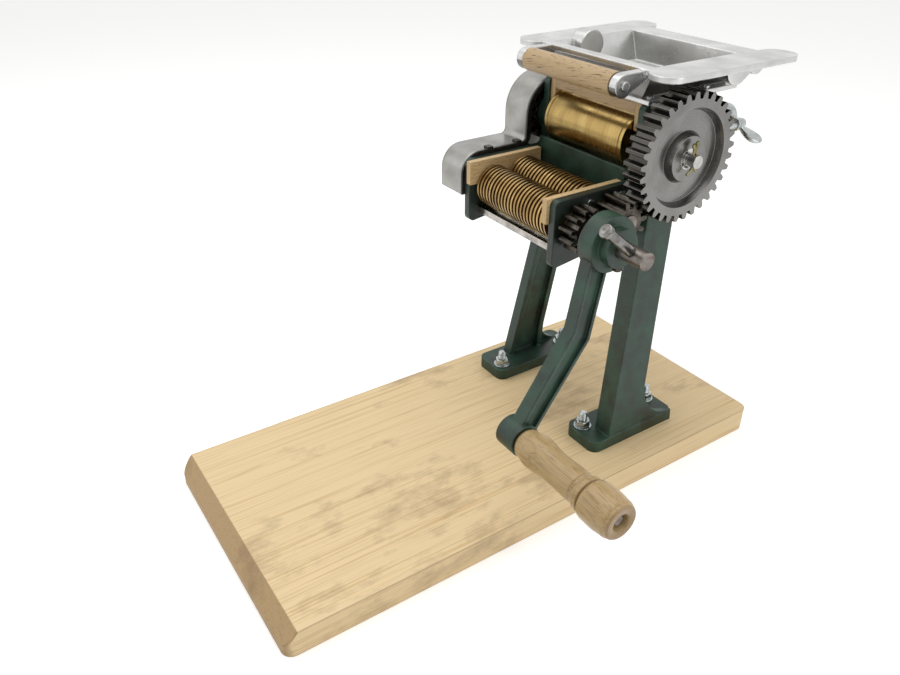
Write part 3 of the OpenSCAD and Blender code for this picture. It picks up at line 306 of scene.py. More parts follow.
@dataclass(frozen=True)
class PlanedWood(Finish):
    """Sawn and planed timber, unsealed: growth lines along the grain, pores, and soft shine."""

    early: str = "#f2d7a8"
    late: str = "#e0c08c"
    pore: str = "#b08e60"
    end: str = "#a07c4c"
    end_share: float = 0.72
    grain: Axis = Axis.Y
    ring: float = 4.5
    ring_run: float = 260.0
    ring_lines: float = 7.0
    pore_w: float = 0.5  # pores are about 0.2 mm wide; drawn coarser so that they show
    pore_l: float = 14.0
    pore_share: float = 0.35
    pore_from: float = 0.56
    pore_span: float = 0.12
    pore_depth: float = 0.15
    slant: float = 0.0
    stain: str = "#8d7450"
    stain_share: float = 0.0
    stain_w: float = 48.0
    stain_l: float = 95.0
    shine: float = 0.55
    edge: float = 2.0
    edge_dirt: float = 0.45

    def shade(self, put: Put) -> Node:
        """Builds the timber: growth lines, pores, darker end grain and handled stains.

        Args:
            put: adds a node to the material's tree.

        Returns:
            The shader node.
        """
        normal, mask = self.edges(put, self.edge)
        rings = put("TexNoise", {
            "Vector": self.along(put, self.ring, self.ring_run), "Scale": 1.0, "Detail": 2.0,
        })
        lines = put("Math", {0: rings, 1: self.ring_lines}, operation="MULTIPLY")
        saw = put("Math", {0: lines}, operation="FRACT")
        growth = ((0.0, self.early), (0.72, self.early), (0.93, self.late), (1.0, self.early))
        wood = put("ValToRGB", {0: saw}, stops=growth)
        fine = self.along(put, self.pore_w, self.pore_l)
        span = (self.pore_from, self.pore_from + self.pore_span)
        pores, open_pores = self.patches(put, fine, 1.0, span, self.pore_share)
        flecked = put("Mix", {0: open_pores, 6: wood, 7: self.pore}, data_type="RGBA")
        facing = put("SeparateXYZ", {0: put("NewGeometry").outputs["Normal"]})
        across = put("Math", {0: facing.outputs[self.grain.value]}, operation="ABSOLUTE")
        butt = put("MapRange", {
            "Value": across, "From Min": 0.35, "From Max": 0.8, "To Max": self.end_share,
        })
        ended = put("Mix", {0: butt, 6: flecked, 7: self.end}, data_type="RGBA")
        broad = self.along(put, self.stain_w, self.stain_l)
        _, stained = self.patches(put, broad, 8.0, (0.55, 0.74), self.stain_share, 0.62)
        edged = put("Math", {0: mask, 1: self.edge_dirt}, operation="MULTIPLY")
        dirt = put("Math", {0: stained, 1: edged}, operation="MAXIMUM")
        colour = put("Mix", {0: dirt, 6: ended, 7: self.stain}, data_type="RGBA")
        bump = put("Bump", {
            "Height": pores, "Normal": normal, "Strength": 0.25, "Distance": self.pore_depth * MM,
        }, invert=True)
        return put("BsdfPrincipled", {
            "Base Color": colour, "Roughness": self.shine, "Normal": bump, "IOR": 1.45,
        })

    def along(self, put: Put, width: float, length: float) -> Socket:
        """Pattern space of a mark that is drawn out along the grain.

        Args:
            put: adds a node to the material's tree.
            width: size across the grain in millimetres.
            length: size along the grain in millimetres.

        Returns:
            Vector socket for a texture of scale 1.
        """
        size = [width, width, width]
        size[self.grain.value] = length
        place = put("TexCoord").outputs["Object"]
        tilt = {"Vector": place, "Axis": (0.0, 1.0, 0.0), "Angle": math.radians(self.slant)}
        tilted = put("VectorRotate", tilt)
        scaled = {0: tilted, 1: tuple(1 / (s * MM) for s in size)}
        return put("VectorMath", scaled, operation="MULTIPLY").outputs[0]


@dataclass(frozen=True)
class TurnedMetal(Finish):
    """Metal turned on a lathe: fine tool lines round its axis, tarnish in the lines."""

    bright: str = "#bba168"
    dull: str = "#8e7443"
    smear: str = "#5a482b"
    smear_share: float = 0.22
    line: float = 0.6  # tool lines are about 0.15 mm apart; drawn coarser so that they show
    line_weight: float = 1.4
    band: float = 14.0
    film: Point = (9.0, 22.0, 22.0)
    rough_low: float = 0.2
    rough_high: float = 0.34
    groove: float = 0.02
    edge: float = 0.5

    def shade(self, put: Put) -> Node:
        """Builds the turned metal: tool lines and bands along X, a thin smear of tarnish.

        Args:
            put: adds a node to the material's tree.

        Returns:
            The shader node.
        """
        normal, _ = self.edges(put, self.edge)
        along = put("SeparateXYZ", {0: self.space(put, (1.0, 1.0, 1.0))})
        lines, bands = (
            put("TexNoise", {
                "W": along, "Scale": 1 / size, "Detail": detail,
            }, noise_dimensions="1D")
            for size, detail in ((self.line, 3.0), (self.band, 2.0))
        )
        mixed = put("Math", {0: lines, 1: self.line_weight, 2: bands}, operation="MULTIPLY_ADD")
        span = {"Value": mixed, "From Min": 0.85, "From Max": 1.6}
        tarnish = put("MapRange", span)
        clean = put("Mix", {0: tarnish, 6: self.bright, 7: self.dull}, data_type="RGBA")
        film = self.space(put, self.film)
        _, smear = self.patches(put, film, 5.0, (0.46, 0.7), self.smear_share)
        colour = put("Mix", {0: smear, 6: clean, 7: self.smear}, data_type="RGBA")
        rough = put("MapRange", {**span, "To Min": self.rough_low, "To Max": self.rough_high})
        bump = put("Bump", {
            "Height": lines, "Normal": normal, "Strength": 0.5, "Distance": self.groove * MM,
        })
        return put("BsdfPrincipled", {
            "Base Color": colour, "Metallic": 1.0, "Roughness": rough, "Normal": bump,
        })


@dataclass(frozen=True)
class FacedMetal(Finish):
    """Steel faced on a lathe: tool lines in rings about a centre, darker on faces that don't look
    along X.
    """

    bright: str = "#838280"
    dull: str = "#403c37"
    centre: Point = (0.0, 0.0, 0.0)
    ring: float = 1.2  # tool lines are about 0.2 mm apart; drawn coarser so that they show
    ring_depth: float = 0.02
    cloud: float = 18.0
    cloud_share: float = 0.3
    flank_share: float = 0.85
    rough_low: float = 0.22
    rough_high: float = 0.32
    brushed: float = 0.6
    edge: float = 0.7

    def shade(self, put: Put) -> Node:
        """Builds the faced metal: rings, cloudy dulling, dark flanks.

        Args:
            put: adds a node to the material's tree.

        Returns:
            The shader node.
        """
        normal, mask = self.edges(put, self.edge)
        flat = self.space(put, (0.0, self.ring, self.ring), self.centre)
        radius = put("VectorMath", {0: flat}, operation="LENGTH")
        rings = put("TexNoise", {"W": radius, "Scale": 1.0, "Detail": 3.0}, noise_dimensions="1D")
        facing = put("SeparateXYZ", {0: put("NewGeometry").outputs["Normal"]})
        side = put("Math", {0: facing}, operation="ABSOLUTE")
        # Faces that don't look along X are mixed towards the dull colour.
        flank = put("MapRange", {
            "Value": side, "From Min": 0.6, "From Max": 0.1, "To Max": self.flank_share,
        })
        clouds = self.space(put, (self.cloud,) * 3)
        _, grey = self.patches(put, clouds, 5.0, (0.42, 0.75), self.cloud_share)
        dimmed = put("Math", {0: flank, 1: grey}, operation="MAXIMUM")
        dim = put("Math", {0: dimmed, 1: mask}, operation="SUBTRACT", use_clamp=True)
        colour = put("Mix", {0: dim, 6: self.bright, 7: self.dull}, data_type="RGBA")
        rough = put("MapRange", {
            "Value": rings, "From Min": 0.3, "From Max": 0.7,
            "To Min": self.rough_low, "To Max": self.rough_high,
        })
        bump = put("Bump", {
            "Height": rings, "Normal": normal, "Strength": 0.3, "Distance": self.ring_depth * MM,
        })
        lay = put("VectorMath", {0: flat, 1: (1.0, 0.0, 0.0)}, operation="CROSS_PRODUCT")
        run = put("VectorMath", {0: lay}, operation="NORMALIZE")
        return put("BsdfPrincipled", {
            "Base Color": colour, "Metallic": 1.0, "Roughness": rough,
            "Anisotropic": self.brushed, "Tangent": run, "Normal": bump,
        })


@dataclass(frozen=True)
class HandledMetal(Finish):
    """Cast, plated or rolled metal in use: clouded, with a fine skin and spots of rust or dirt."""

    bright: str = "#b9bbb7"
    dull: str = "#8a8c88"
    spot: str = "#6b5a48"
    spot_share: float = 0.2
    cloud: float = 9.0
    cloud_share: float = 0.8
    skin: float = 0.8
    skin_depth: float = 0.08
    rough_low: float = 0.25
    rough_high: float = 0.45
    edge: float = 0.8
    # Lighter edges: partly real wear, partly painted glints.
    edge_wear_and_glint: float = 0.5
    # Painted shade: a darker grey mixed into faces that look down, and how much of it.
    cast: str = "#5a5853"
    underside_shade_share: float = 0.0

    def shade(self, put: Put) -> Node:
        """Builds the handled metal: clouds, skin, spots, bright edges, painted shade below.

        Args:
            put: adds a node to the material's tree.

        Returns:
            The shader node.
        """
        normal, mask = self.edges(put, self.edge)
        clouds = self.space(put, (self.cloud,) * 3)
        _, grey = self.patches(put, clouds, 6.0, (0.35, 0.7), self.cloud_share)
        skin = put("TexNoise", {
            "Vector": self.space(put, (self.skin,) * 3), "Scale": 1.0, "Detail": 3.0,
        })
        # Edges painted brighter: partly real wear, partly painted glints.
        rubbed = put("Math", {0: mask, 1: self.edge_wear_and_glint}, operation="MULTIPLY")
        dull = put("Math", {0: grey, 1: rubbed}, operation="SUBTRACT", use_clamp=True)
        base = put("Mix", {0: dull, 6: self.bright, 7: self.dull}, data_type="RGBA")
        spots = self.space(put, (self.cloud / 2,) * 3, SPOT_SHIFT)
        _, share = self.patches(put, spots, 8.0, (0.52, 0.74), self.spot_share)
        spotted = put("Mix", {0: share, 6: base, 7: self.spot}, data_type="RGBA")
        facing = put("SeparateXYZ", {0: put("NewGeometry").outputs["Normal"]})
        # Painted shade: faces that look down are mixed towards the darker grey.
        down = put("MapRange", {
            "Value": facing.outputs[Axis.Z.value],
            "From Min": -0.02, "From Max": -0.06, "To Max": self.underside_shade_share,
        })
        colour = put("Mix", {0: down, 6: spotted, 7: self.cast}, data_type="RGBA")
        span = {"Value": dull, "To Min": self.rough_low, "To Max": self.rough_high}
        rough = put("MapRange", span)
        bump = put("Bump", {
            "Height": skin, "Normal": normal, "Strength": 0.5, "Distance": self.skin_depth * MM,
        })
        return put("BsdfPrincipled", {
            "Base Color": colour, "Metallic": 1.0, "Roughness": rough, "Normal": bump,
        })


@dataclass(frozen=True)
class Enamel(Finish):
    """Black stoving enamel on sheet steel: smooth, half gloss, with dust and rubbed edges."""

    coat: str = "#141413"
    dust: str = "#3a3936"
    speck: float = 6.0
    speck_share: float = 0.5
    dust_share: float = 0.7
    shine: float = 0.38
    edge: float = 0.6

    def shade(self, put: Put) -> Node:
        """Builds the enamel with a dusting of grey.

        Args:
            put: adds a node to the material's tree.

        Returns:
            The shader node.
        """
        normal, mask = self.edges(put, self.edge)
        specks = self.space(put, (self.speck,) * 3)
        _, veil = self.patches(put, specks, 5.0, (0.45, 0.75), self.speck_share)
        grey = put("Math", {0: veil, 1: mask}, operation="MAXIMUM")
        share = put("Math", {0: grey, 1: self.dust_share}, operation="MULTIPLY")
        colour = put("Mix", {0: share, 6: self.coat, 7: self.dust}, data_type="RGBA")
        return put("BsdfPrincipled", {
            "Base Color": colour, "Roughness": self.shine, "Normal": normal, "IOR": 1.5,
        })


# Softwood plank, planed and unsealed: pale, with flat growth lines and handling stains.
PINE_PLANED = PlanedWood(
    "pine_planed_unsealed", Slot.PINE, ring=10.0, ring_run=1100.0, pore_w=0.9, pore_l=70.0,
    pore_share=0.22, stain="#86694a", stain_share=0.62,
)
# Brushed green enamel on sand-cast iron: dark, pebbled, half gloss.
IRON_GREEN = PaintedIron("cast_iron_green_enamel", Slot.GREEN_PAINT)
# The same enamel round the cutter gears: darker towards a point near them.
IRON_GREEN_DARKER_NEAR_GEARS = PaintedIron(
    "cast_iron_green_enamel_darker_near_gears", Slot.GREEN_PAINT, grime="#1f201c",
    dark_centre=(0.0, 66.0, 258.0), dark_share=0.8,
)
# Brass turned and left bare: gold with olive tarnish in the tool lines.
BRASS_TURNED = TurnedMetal("brass_turned", Slot.BRASS)
# Brass rolls grooved on the lathe: darker, flour and tarnish between the ridges.
BRASS_GROOVED = TurnedMetal(
    "brass_grooved", Slot.BRASS, bright="#bda06c", dull="#957748", smear="#57442a", smear_share=0.5,
    line=2.3, rough_low=0.26, rough_high=0.42, edge=0.35,
)
# Thin brass sheet of the combs: yellow, dulled to olive in clouds.
BRASS_SHEET = HandledMetal(
    "brass_sheet", Slot.BRASS, bright="#b3a06a", dull="#857547", spot="#4a4128", rough_low=0.28
)
# Brass wire of the split pin: dulled to olive.
BRASS_WIRE = HandledMetal(
    "brass_wire_dulled", Slot.BRASS, bright="#98906a", dull="#686247", spot="#3d382a",
    rough_low=0.26,
)
# Bronze bearing metal, oiled: brown gold.
BRONZE_BUSH = HandledMetal(
    "bronze_oiled", Slot.BRONZE, bright="#a67f48", dull="#6e5026", spot="#3a2c18", spot_share=0.5
)
# Gear steel that runs in oil: nearly black, wet shine, edges lighter as wear and painted glints.
STEEL_PINION = HandledMetal(
    "steel_gear_oiled", Slot.GEAR_STEEL, bright="#5c5750", dull="#302c27", spot="#1c1916",
    spot_share=0.6, rough_low=0.24, rough_high=0.46,
)
# Bar steel of the shafts: dark, with brown rust.
STEEL_DARK = HandledMetal(
    "steel_shaft_rusted", Slot.DARK_STEEL, bright="#8d8680", dull="#5c5751", spot="#5a3b2a",
    spot_share=0.6, rough_low=0.35, rough_high=0.55,
)
# Cold-rolled bar, polished in use: mirror grey.
STEEL_BRIGHT = HandledMetal(
    "steel_bar_polished", Slot.BRIGHT_STEEL, bright="#bdbcb9", dull="#9a9996", spot_share=0.08,
    skin_depth=0.015, rough_low=0.14, rough_high=0.26,
)
# Turned pin, oiled by the hand: mid grey with a dark bloom, edges lighter as wear and painted
# highlight.
STEEL_PIN = HandledMetal(
    "steel_pin_turned", Slot.BRIGHT_STEEL, bright="#8f8d8a", dull="#5c5956", spot="#37322d",
    spot_share=0.4, skin_depth=0.015, rough_low=0.16, rough_high=0.3, edge=1.0, edge_wear_and_glint=0.9,
)
# Flat bar of the scrapers: greyed by dough and hands, bright along its edges as wear and painted
# highlight.
STEEL_SCRAPER = HandledMetal(
    "steel_bar_greyed", Slot.BRIGHT_STEEL, bright="#bab6b0", dull="#7f7972", spot="#4a4139",
    spot_share=0.3, skin_depth=0.015, rough_low=0.16, rough_high=0.32, edge=1.2, edge_wear_and_glint=1.0,
)
# Zinc-plated fasteners: bluish grey, soft shine.
ZINC_PLATED = HandledMetal(
    "steel_zinc_plated", Slot.ZINC_STEEL, bright="#c3c8c7", dull="#979d9c", spot_share=0.12,
    cloud=7.0, skin_depth=0.015, rough_low=0.2, rough_high=0.36,
)
# Gravity-cast aluminium, filed and buffed: pale grey, clouded; faces below painted in shade.
ALUMINIUM_CAST = HandledMetal(
    "aluminium_cast_buffed", Slot.CAST_ALUMINIUM, bright="#d6d6d4", dull="#aaaaa8", spot="#7f7d79",
    spot_share=0.15, cloud=22.0, cloud_share=0.5, skin=2.2, skin_depth=0.14, rough_low=0.27,
    rough_high=0.44, edge=1.8, underside_shade_share=0.85,
)
# Aluminium sheet polished to a satin: grey with a soft shine.
ALUMINIUM_SATIN = HandledMetal(
    "aluminium_satin_polish", Slot.POLISHED_ALUMINIUM, bright="#a9a8a4", dull="#858480", cloud=26.0,
    skin=1.2, skin_depth=0.04, rough_low=0.3, rough_high=0.44, edge=4.0, edge_wear_and_glint=0.2,
)
# Black stoving enamel on sheet: deep black, half gloss, greyed by dust.
BLACK_ENAMEL = Enamel("steel_black_enamel", Slot.BLACK_PAINT)
# Steamed beech, planed: pinkish tan with short brown flecks along the grain.
BEECH_LONG = PlanedWood(
    "beech_planed_along_x", Slot.BEECH, early="#c2a67d", late="#b4966b", pore="#54402a",
    end="#9b7d58", grain=Axis.X, ring=5.0, ring_run=160.0, pore_w=1.05, pore_l=14.0, pore_from=0.6,
    pore_share=0.85, slant=9.0, stain_share=0.12, shine=0.42, edge=1.2,
)
# The same beech in the side boards, with finer flecks; its paler colour is painted light.
BEECH_SIDE = PlanedWood(
    "beech_planed_along_y", Slot.BEECH, early="#dfc190", late="#d1b07d", pore="#8a6c49",
    end="#cfae7c", grain=Axis.Y, ring=5.0, ring_run=160.0, pore_w=0.6, pore_l=4.0, pore_share=0.5,
    stain_share=0.2, shine=0.45, edge=0.8,
)
# Turned oak, oiled by the hand: brown tan with long open pores.
OAK_TURNED = PlanedWood(
    "oak_turned_oiled", Slot.OAK, early="#bb9f71", late="#a08459", pore="#7d6343", end="#9a7d57",
    grain=Axis.X, ring=6.0, ring_run=120.0, pore_w=0.8, pore_l=26.0, pore_share=0.5,
    stain="#7d6644", stain_share=0.3, shine=0.3, edge=1.0,
)


class Sketch:
    """Vertices and faces of one piece, gathered in millimetres in the part's frame.

    A place is the matrix from a piece's own frame to the part's.
    """

    def __init__(self) -> None:
        """Starts with nothing drawn."""
        self.points: list[Vector] = []
        self.faces: list[tuple[int, ...]] = []

    def skin(self, rings: Sequence[Sequence[Point]], place: Matrix, caps: bool = True) -> None:
        """Skins closed rings of one length, in order.

        Args:
            rings: rings of points in the piece's own frame.
            place: matrix from that frame to the part's frame.
            caps: whether the first and last ring are closed by a face.
        """
        start, count = len(self.points), len(rings[0])
        for ring in rings:
            self.points += [place @ Vector(p) for p in ring]
        for k in range(len(rings) - 1):
            row = start + k * count
            for i in range(count):
                j = (i + 1) % count
                self.faces.append((row + i, row + j, row + j + count, row + i + count))
        if caps:
            end = start + (len(rings) - 1) * count
            self.faces.append(tuple(reversed(range(start, start + count))))
            self.faces.append(tuple(range(end, end + count)))

    def lathe(self, profile: Iterable[tuple[float, float]], place: Matrix, steps: int = 48) -> None:
        """Turns a profile about the piece's Z axis.

        Args:
            profile: places along Z and radii.
            place: the piece's place.
            steps: points round a ring.
        """
        turns = [math.tau * i / steps for i in range(steps)]
        rings = [[(r * math.cos(a), r * math.sin(a), z) for a in turns] for z, r in profile]
        self.skin(rings, place)

    def thread(self, d: float, pitch: float, z0: float, z1: float, place: Matrix) -> None:
        """Cuts a screw thread on a rod along the piece's Z axis, with a chamfered end at z1.

        Args:
            d: outer diameter.
            pitch: rise of one turn.
            z0: start of the thread.
            z1: end of the thread.
            place: the piece's place.
        """
        steps, per_turn, depth, taper = 28, 6, 0.55 * pitch, 0.1
        rows = max(2, round((z1 - z0) / pitch * per_turn))
        rings = []
        for k in range(rows + 1):
            z = z0 + (z1 - z0) * k / rows
            lead = min(1.0, (z1 - z) / pitch)
            ring = []
            for i in range(steps):
                phase = (z / pitch - i / steps) % 1.0
                r = d / 2 - depth * abs(2 * phase - 1) - (1 - lead) * taper * d
                a = math.tau * i / steps
                ring.append((r * math.cos(a), r * math.sin(a), z))
            rings.append(ring)
        self.skin(rings, place)

    def hex_nut(self, across: float, bore: float, h: float, place: Matrix) -> None:
        """Makes a hexagon nut with its corners turned off at both faces.

        Args:
            across: size across the flats.
            bore: diameter of the hole.
            h: height of the nut.
            place: the piece's place, at the nut's lower face.
        """
        steps, land, sixth = 72, 0.48 * across, math.pi / 6
        turns = [math.tau * i / steps for i in range(steps)]
        flat = [across / 2 / math.cos((a + sixth) % (2 * sixth) - sixth) for a in turns]
        drop = [max(0.0, r - land) * math.tan(sixth) for r in flat]
        rows = (
            [(bore / 2, 0.0)] * steps,
            [(land, 0.0)] * steps,
            [(r, d) for r, d in zip(flat, drop)],
            [(r, h - d) for r, d in zip(flat, drop)],
            [(land, h)] * steps,
            [(bore / 2, h)] * steps,
        )
        rings = [
            [(r * math.cos(a), r * math.sin(a), z) for a, (r, z) in zip(turns, row)]
            for row in rows
        ]
        self.skin(rings + rings[:1], place, caps=False)

    def slotted_head(self, d: float, h: float, place: Matrix) -> None:
        """Makes a cheese head with a screwdriver slot across it.

        Args:
            d: diameter of the head.
            h: height of the head.
            place: the piece's place, at the head's seat.
        """
        half, floor, steps = 0.09 * d, 0.5 * h, 18
        sunk, inset, crown, dome = 0.1, 0.999, 0.9, 0.12 * d
        self.lathe(((0.0, d / 2), (floor, d / 2)), place, steps=2 * steps)
        start = math.asin(2 * half / d)
        for side in (0.0, math.pi):
            turns = [side + start + (math.pi - 2 * start) * k / steps for k in range(steps + 1)]
            rings = [
                [(d / 2 * share * math.cos(a), d / 2 * share * math.sin(a), z) for a in turns]
                for z, share in ((floor - sunk, inset), (h - dome, inset), (h, crown))
            ]
            self.skin(rings, place)

    def tube(self, path: Sequence[Point], d: float, place: Matrix, steps: int = 14) -> None:
        """Bends a round wire along a path.

        Args:
            path: points of the wire's middle.
            d: diameter of the wire.
            place: the piece's place.
            steps: points round the wire.
        """
        middle = [Vector(p) for p in path]
        rings, side = [], Vector((0.0, 0.0, 1.0))
        turns = [math.tau * i / steps for i in range(steps)]
        for k, p in enumerate(middle):
            run = (middle[min(k + 1, len(middle) - 1)] - middle[max(k - 1, 0)]).normalized()
            side = (side - run * side.dot(run)).normalized()
            up = run.cross(side)
            spokes = [side * math.cos(a) + up * math.sin(a) for a in turns]
            rings.append([tuple(p + d / 2 * spoke) for spoke in spokes])
        self.skin(rings, place)

    def lobe(self, outline: Sequence[tuple[float, float]], t: float, place: Matrix) -> None:
        """Forges a flat lobe with a rounded rim, such as a wing of a screw.

        Args:
            outline: closed outline in the piece's XY plane.
            t: thickness at the middle.
            place: the piece's place.
        """
        cx = sum(p[0] for p in outline) / len(outline)
        cy = sum(p[1] for p in outline) / len(outline)
        rings, steps, flat, pole = [], 12, 0.35, 0.2
        for k in range(steps + 1):
            a = math.pi * (k / steps - 0.5)
            level = t / 2 * math.sin(a)
            share = flat + (1 - flat) * math.cos(a) ** 0.5 if k not in (0, steps) else pole
            rings.append(
                [(cx + (x - cx) * share, cy + (y - cy) * share, level) for x, y in outline]
            )
        self.skin(rings, place)

    def piece(self, name: str, finish: Finish, body: str, node: str, sharp: float = 35.0) -> None:
        """Makes the drawn piece, dresses it and sets it on its body.

        Args:
            name: name of the piece.
            finish: its finish.
            body: body that carries it.
            node: node that it stands for.
            sharp: angle in degrees above which an edge stays sharp.
        """
        mesh = bpy.data.meshes.new(name)
        mesh.from_pydata([tuple(p * MM) for p in self.points], [], self.faces)
        work = bmesh.new()
        work.from_mesh(mesh)
        bmesh.ops.recalc_face_normals(work, faces=work.faces)
        work.to_mesh(mesh)
        work.free()
        mesh.shade_smooth()
        mesh.set_sharp_from_angle(angle=math.radians(sharp))
        made = bpy.data.objects.new(name, mesh)
        bpy.context.scene.collection.objects.link(made)
        made.data.materials.append(finish.material())
        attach(made, body)
        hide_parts(node)
        LOG.info("%s rides on %s", name, body)


def box_mm(node: str) -> tuple[Vector, Vector]:
    """Lowest and highest corner of a node at rest, in millimetres."""
    low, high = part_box(node)
    return low / MM, high / MM


def dress(finish: Finish, *nodes: str) -> None:
    """Gives nodes a finish.

    Args:
        finish: the finish.
        nodes: names of the nodes.
    """
    for node in nodes:
        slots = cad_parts[node].data.materials
        slots.clear()
        slots.append(finish.material())
        LOG.info("%s is %s", node, finish.name)


def at(x: float, y: float, z: float) -> Matrix:
    """Matrix that moves a piece to a point."""
    return Matrix.Translation((x, y, z))


# Turns that lay a piece's Z axis along the part's X or Y axis.
TO_X = Matrix.Rotation(math.pi / 2, 4, "Y")
TO_Y = Matrix.Rotation(-math.pi / 2, 4, "X")


@dataclass(frozen=True)
class SubAssembly:
    """Pieces that are made and fitted together."""

    def dress(self) -> None:
        """Finishes the solids that stay as they are."""

    def build(self) -> None:
        """Makes finer pieces in place of small solids, where there are any."""


@dataclass(frozen=True)
class Stand(SubAssembly):
    """Plank, frames, stay and the bolts through the feet."""

    bolt_d: float = 8.0
    bolt_pitch: float = 1.25
    nut_across: float = 12.8
    head_d: float = 17.6
    head_h: float = 4.0
    crown_h: float = 1.5
    crown_share: float = 0.8
    thread_below_nut: float = 6.0

    def dress(self) -> None:
        """Finishes the plank, the castings and the washers."""
        dress(PINE_PLANED, "base_board")
        dress(IRON_GREEN_DARKER_NEAR_GEARS, "left_frame", "right_frame", "cross_stay")
        dress(ZINC_PLATED, "frame_washers")

    def build(self) -> None:
        """Makes the threaded bolts and their nuts."""
        low, high = box_mm("frame_bolts")
        nut_low, nut_high = box_mm("frame_nuts")
        bolts, nuts = Sketch(), Sketch()
        head, rod = min(self.head_d, high.x - low.x), self.bolt_d / 2
        base, plain = low.z + self.head_h, nut_low.z - self.thread_below_nut
        crown = ((low.z, self.crown_share * head / 2), (low.z + self.crown_h, head / 2))
        for x in (low.x + head / 2, high.x - head / 2):
            for y in (low.y + head / 2, high.y - head / 2):
                place = at(x, y, 0.0)
                bolts.lathe((*crown, (base, head / 2)), place)
                bolts.lathe(((base, rod), (plain, rod)), place)
                bolts.thread(self.bolt_d, self.bolt_pitch, plain, high.z, place)
                seat = at(x, y, nut_low.z)
                nuts.hex_nut(self.nut_across, self.bolt_d, nut_high.z - nut_low.z, seat)
        bolts.piece("foot_bolts_threaded", ZINC_PLATED, "stand", "frame_bolts")
        nuts.piece("foot_nuts_chamfered", ZINC_PLATED, "stand", "frame_nuts", sharp=25.0)


@dataclass(frozen=True)
class CutterHead(SubAssembly):
    """Grooved rolls, their gears, boards, bars and combs."""

    def dress(self) -> None:
        """Finishes the rolls, shafts, gears, boards and bars."""
        dress(BRASS_GROOVED, "front_cutter", "rear_cutter")
        dress(BRASS_SHEET, "front_comb", "rear_comb")
        dress(BRONZE_BUSH, "cutter_bushes")
        dress(STEEL_PINION, "crank_pinion", "idler_pinion", "front_cutter_gear", "rear_cutter_gear")
        dress(STEEL_DARK, "crank_shaft", "rear_cutter_shaft", "stay_screws")
        dress(ZINC_PLATED, "board_screws")
        dress(STEEL_SCRAPER, "front_bar", "rear_bar")
        dress(BEECH_SIDE, "cutter_board_left", "cutter_board_right")


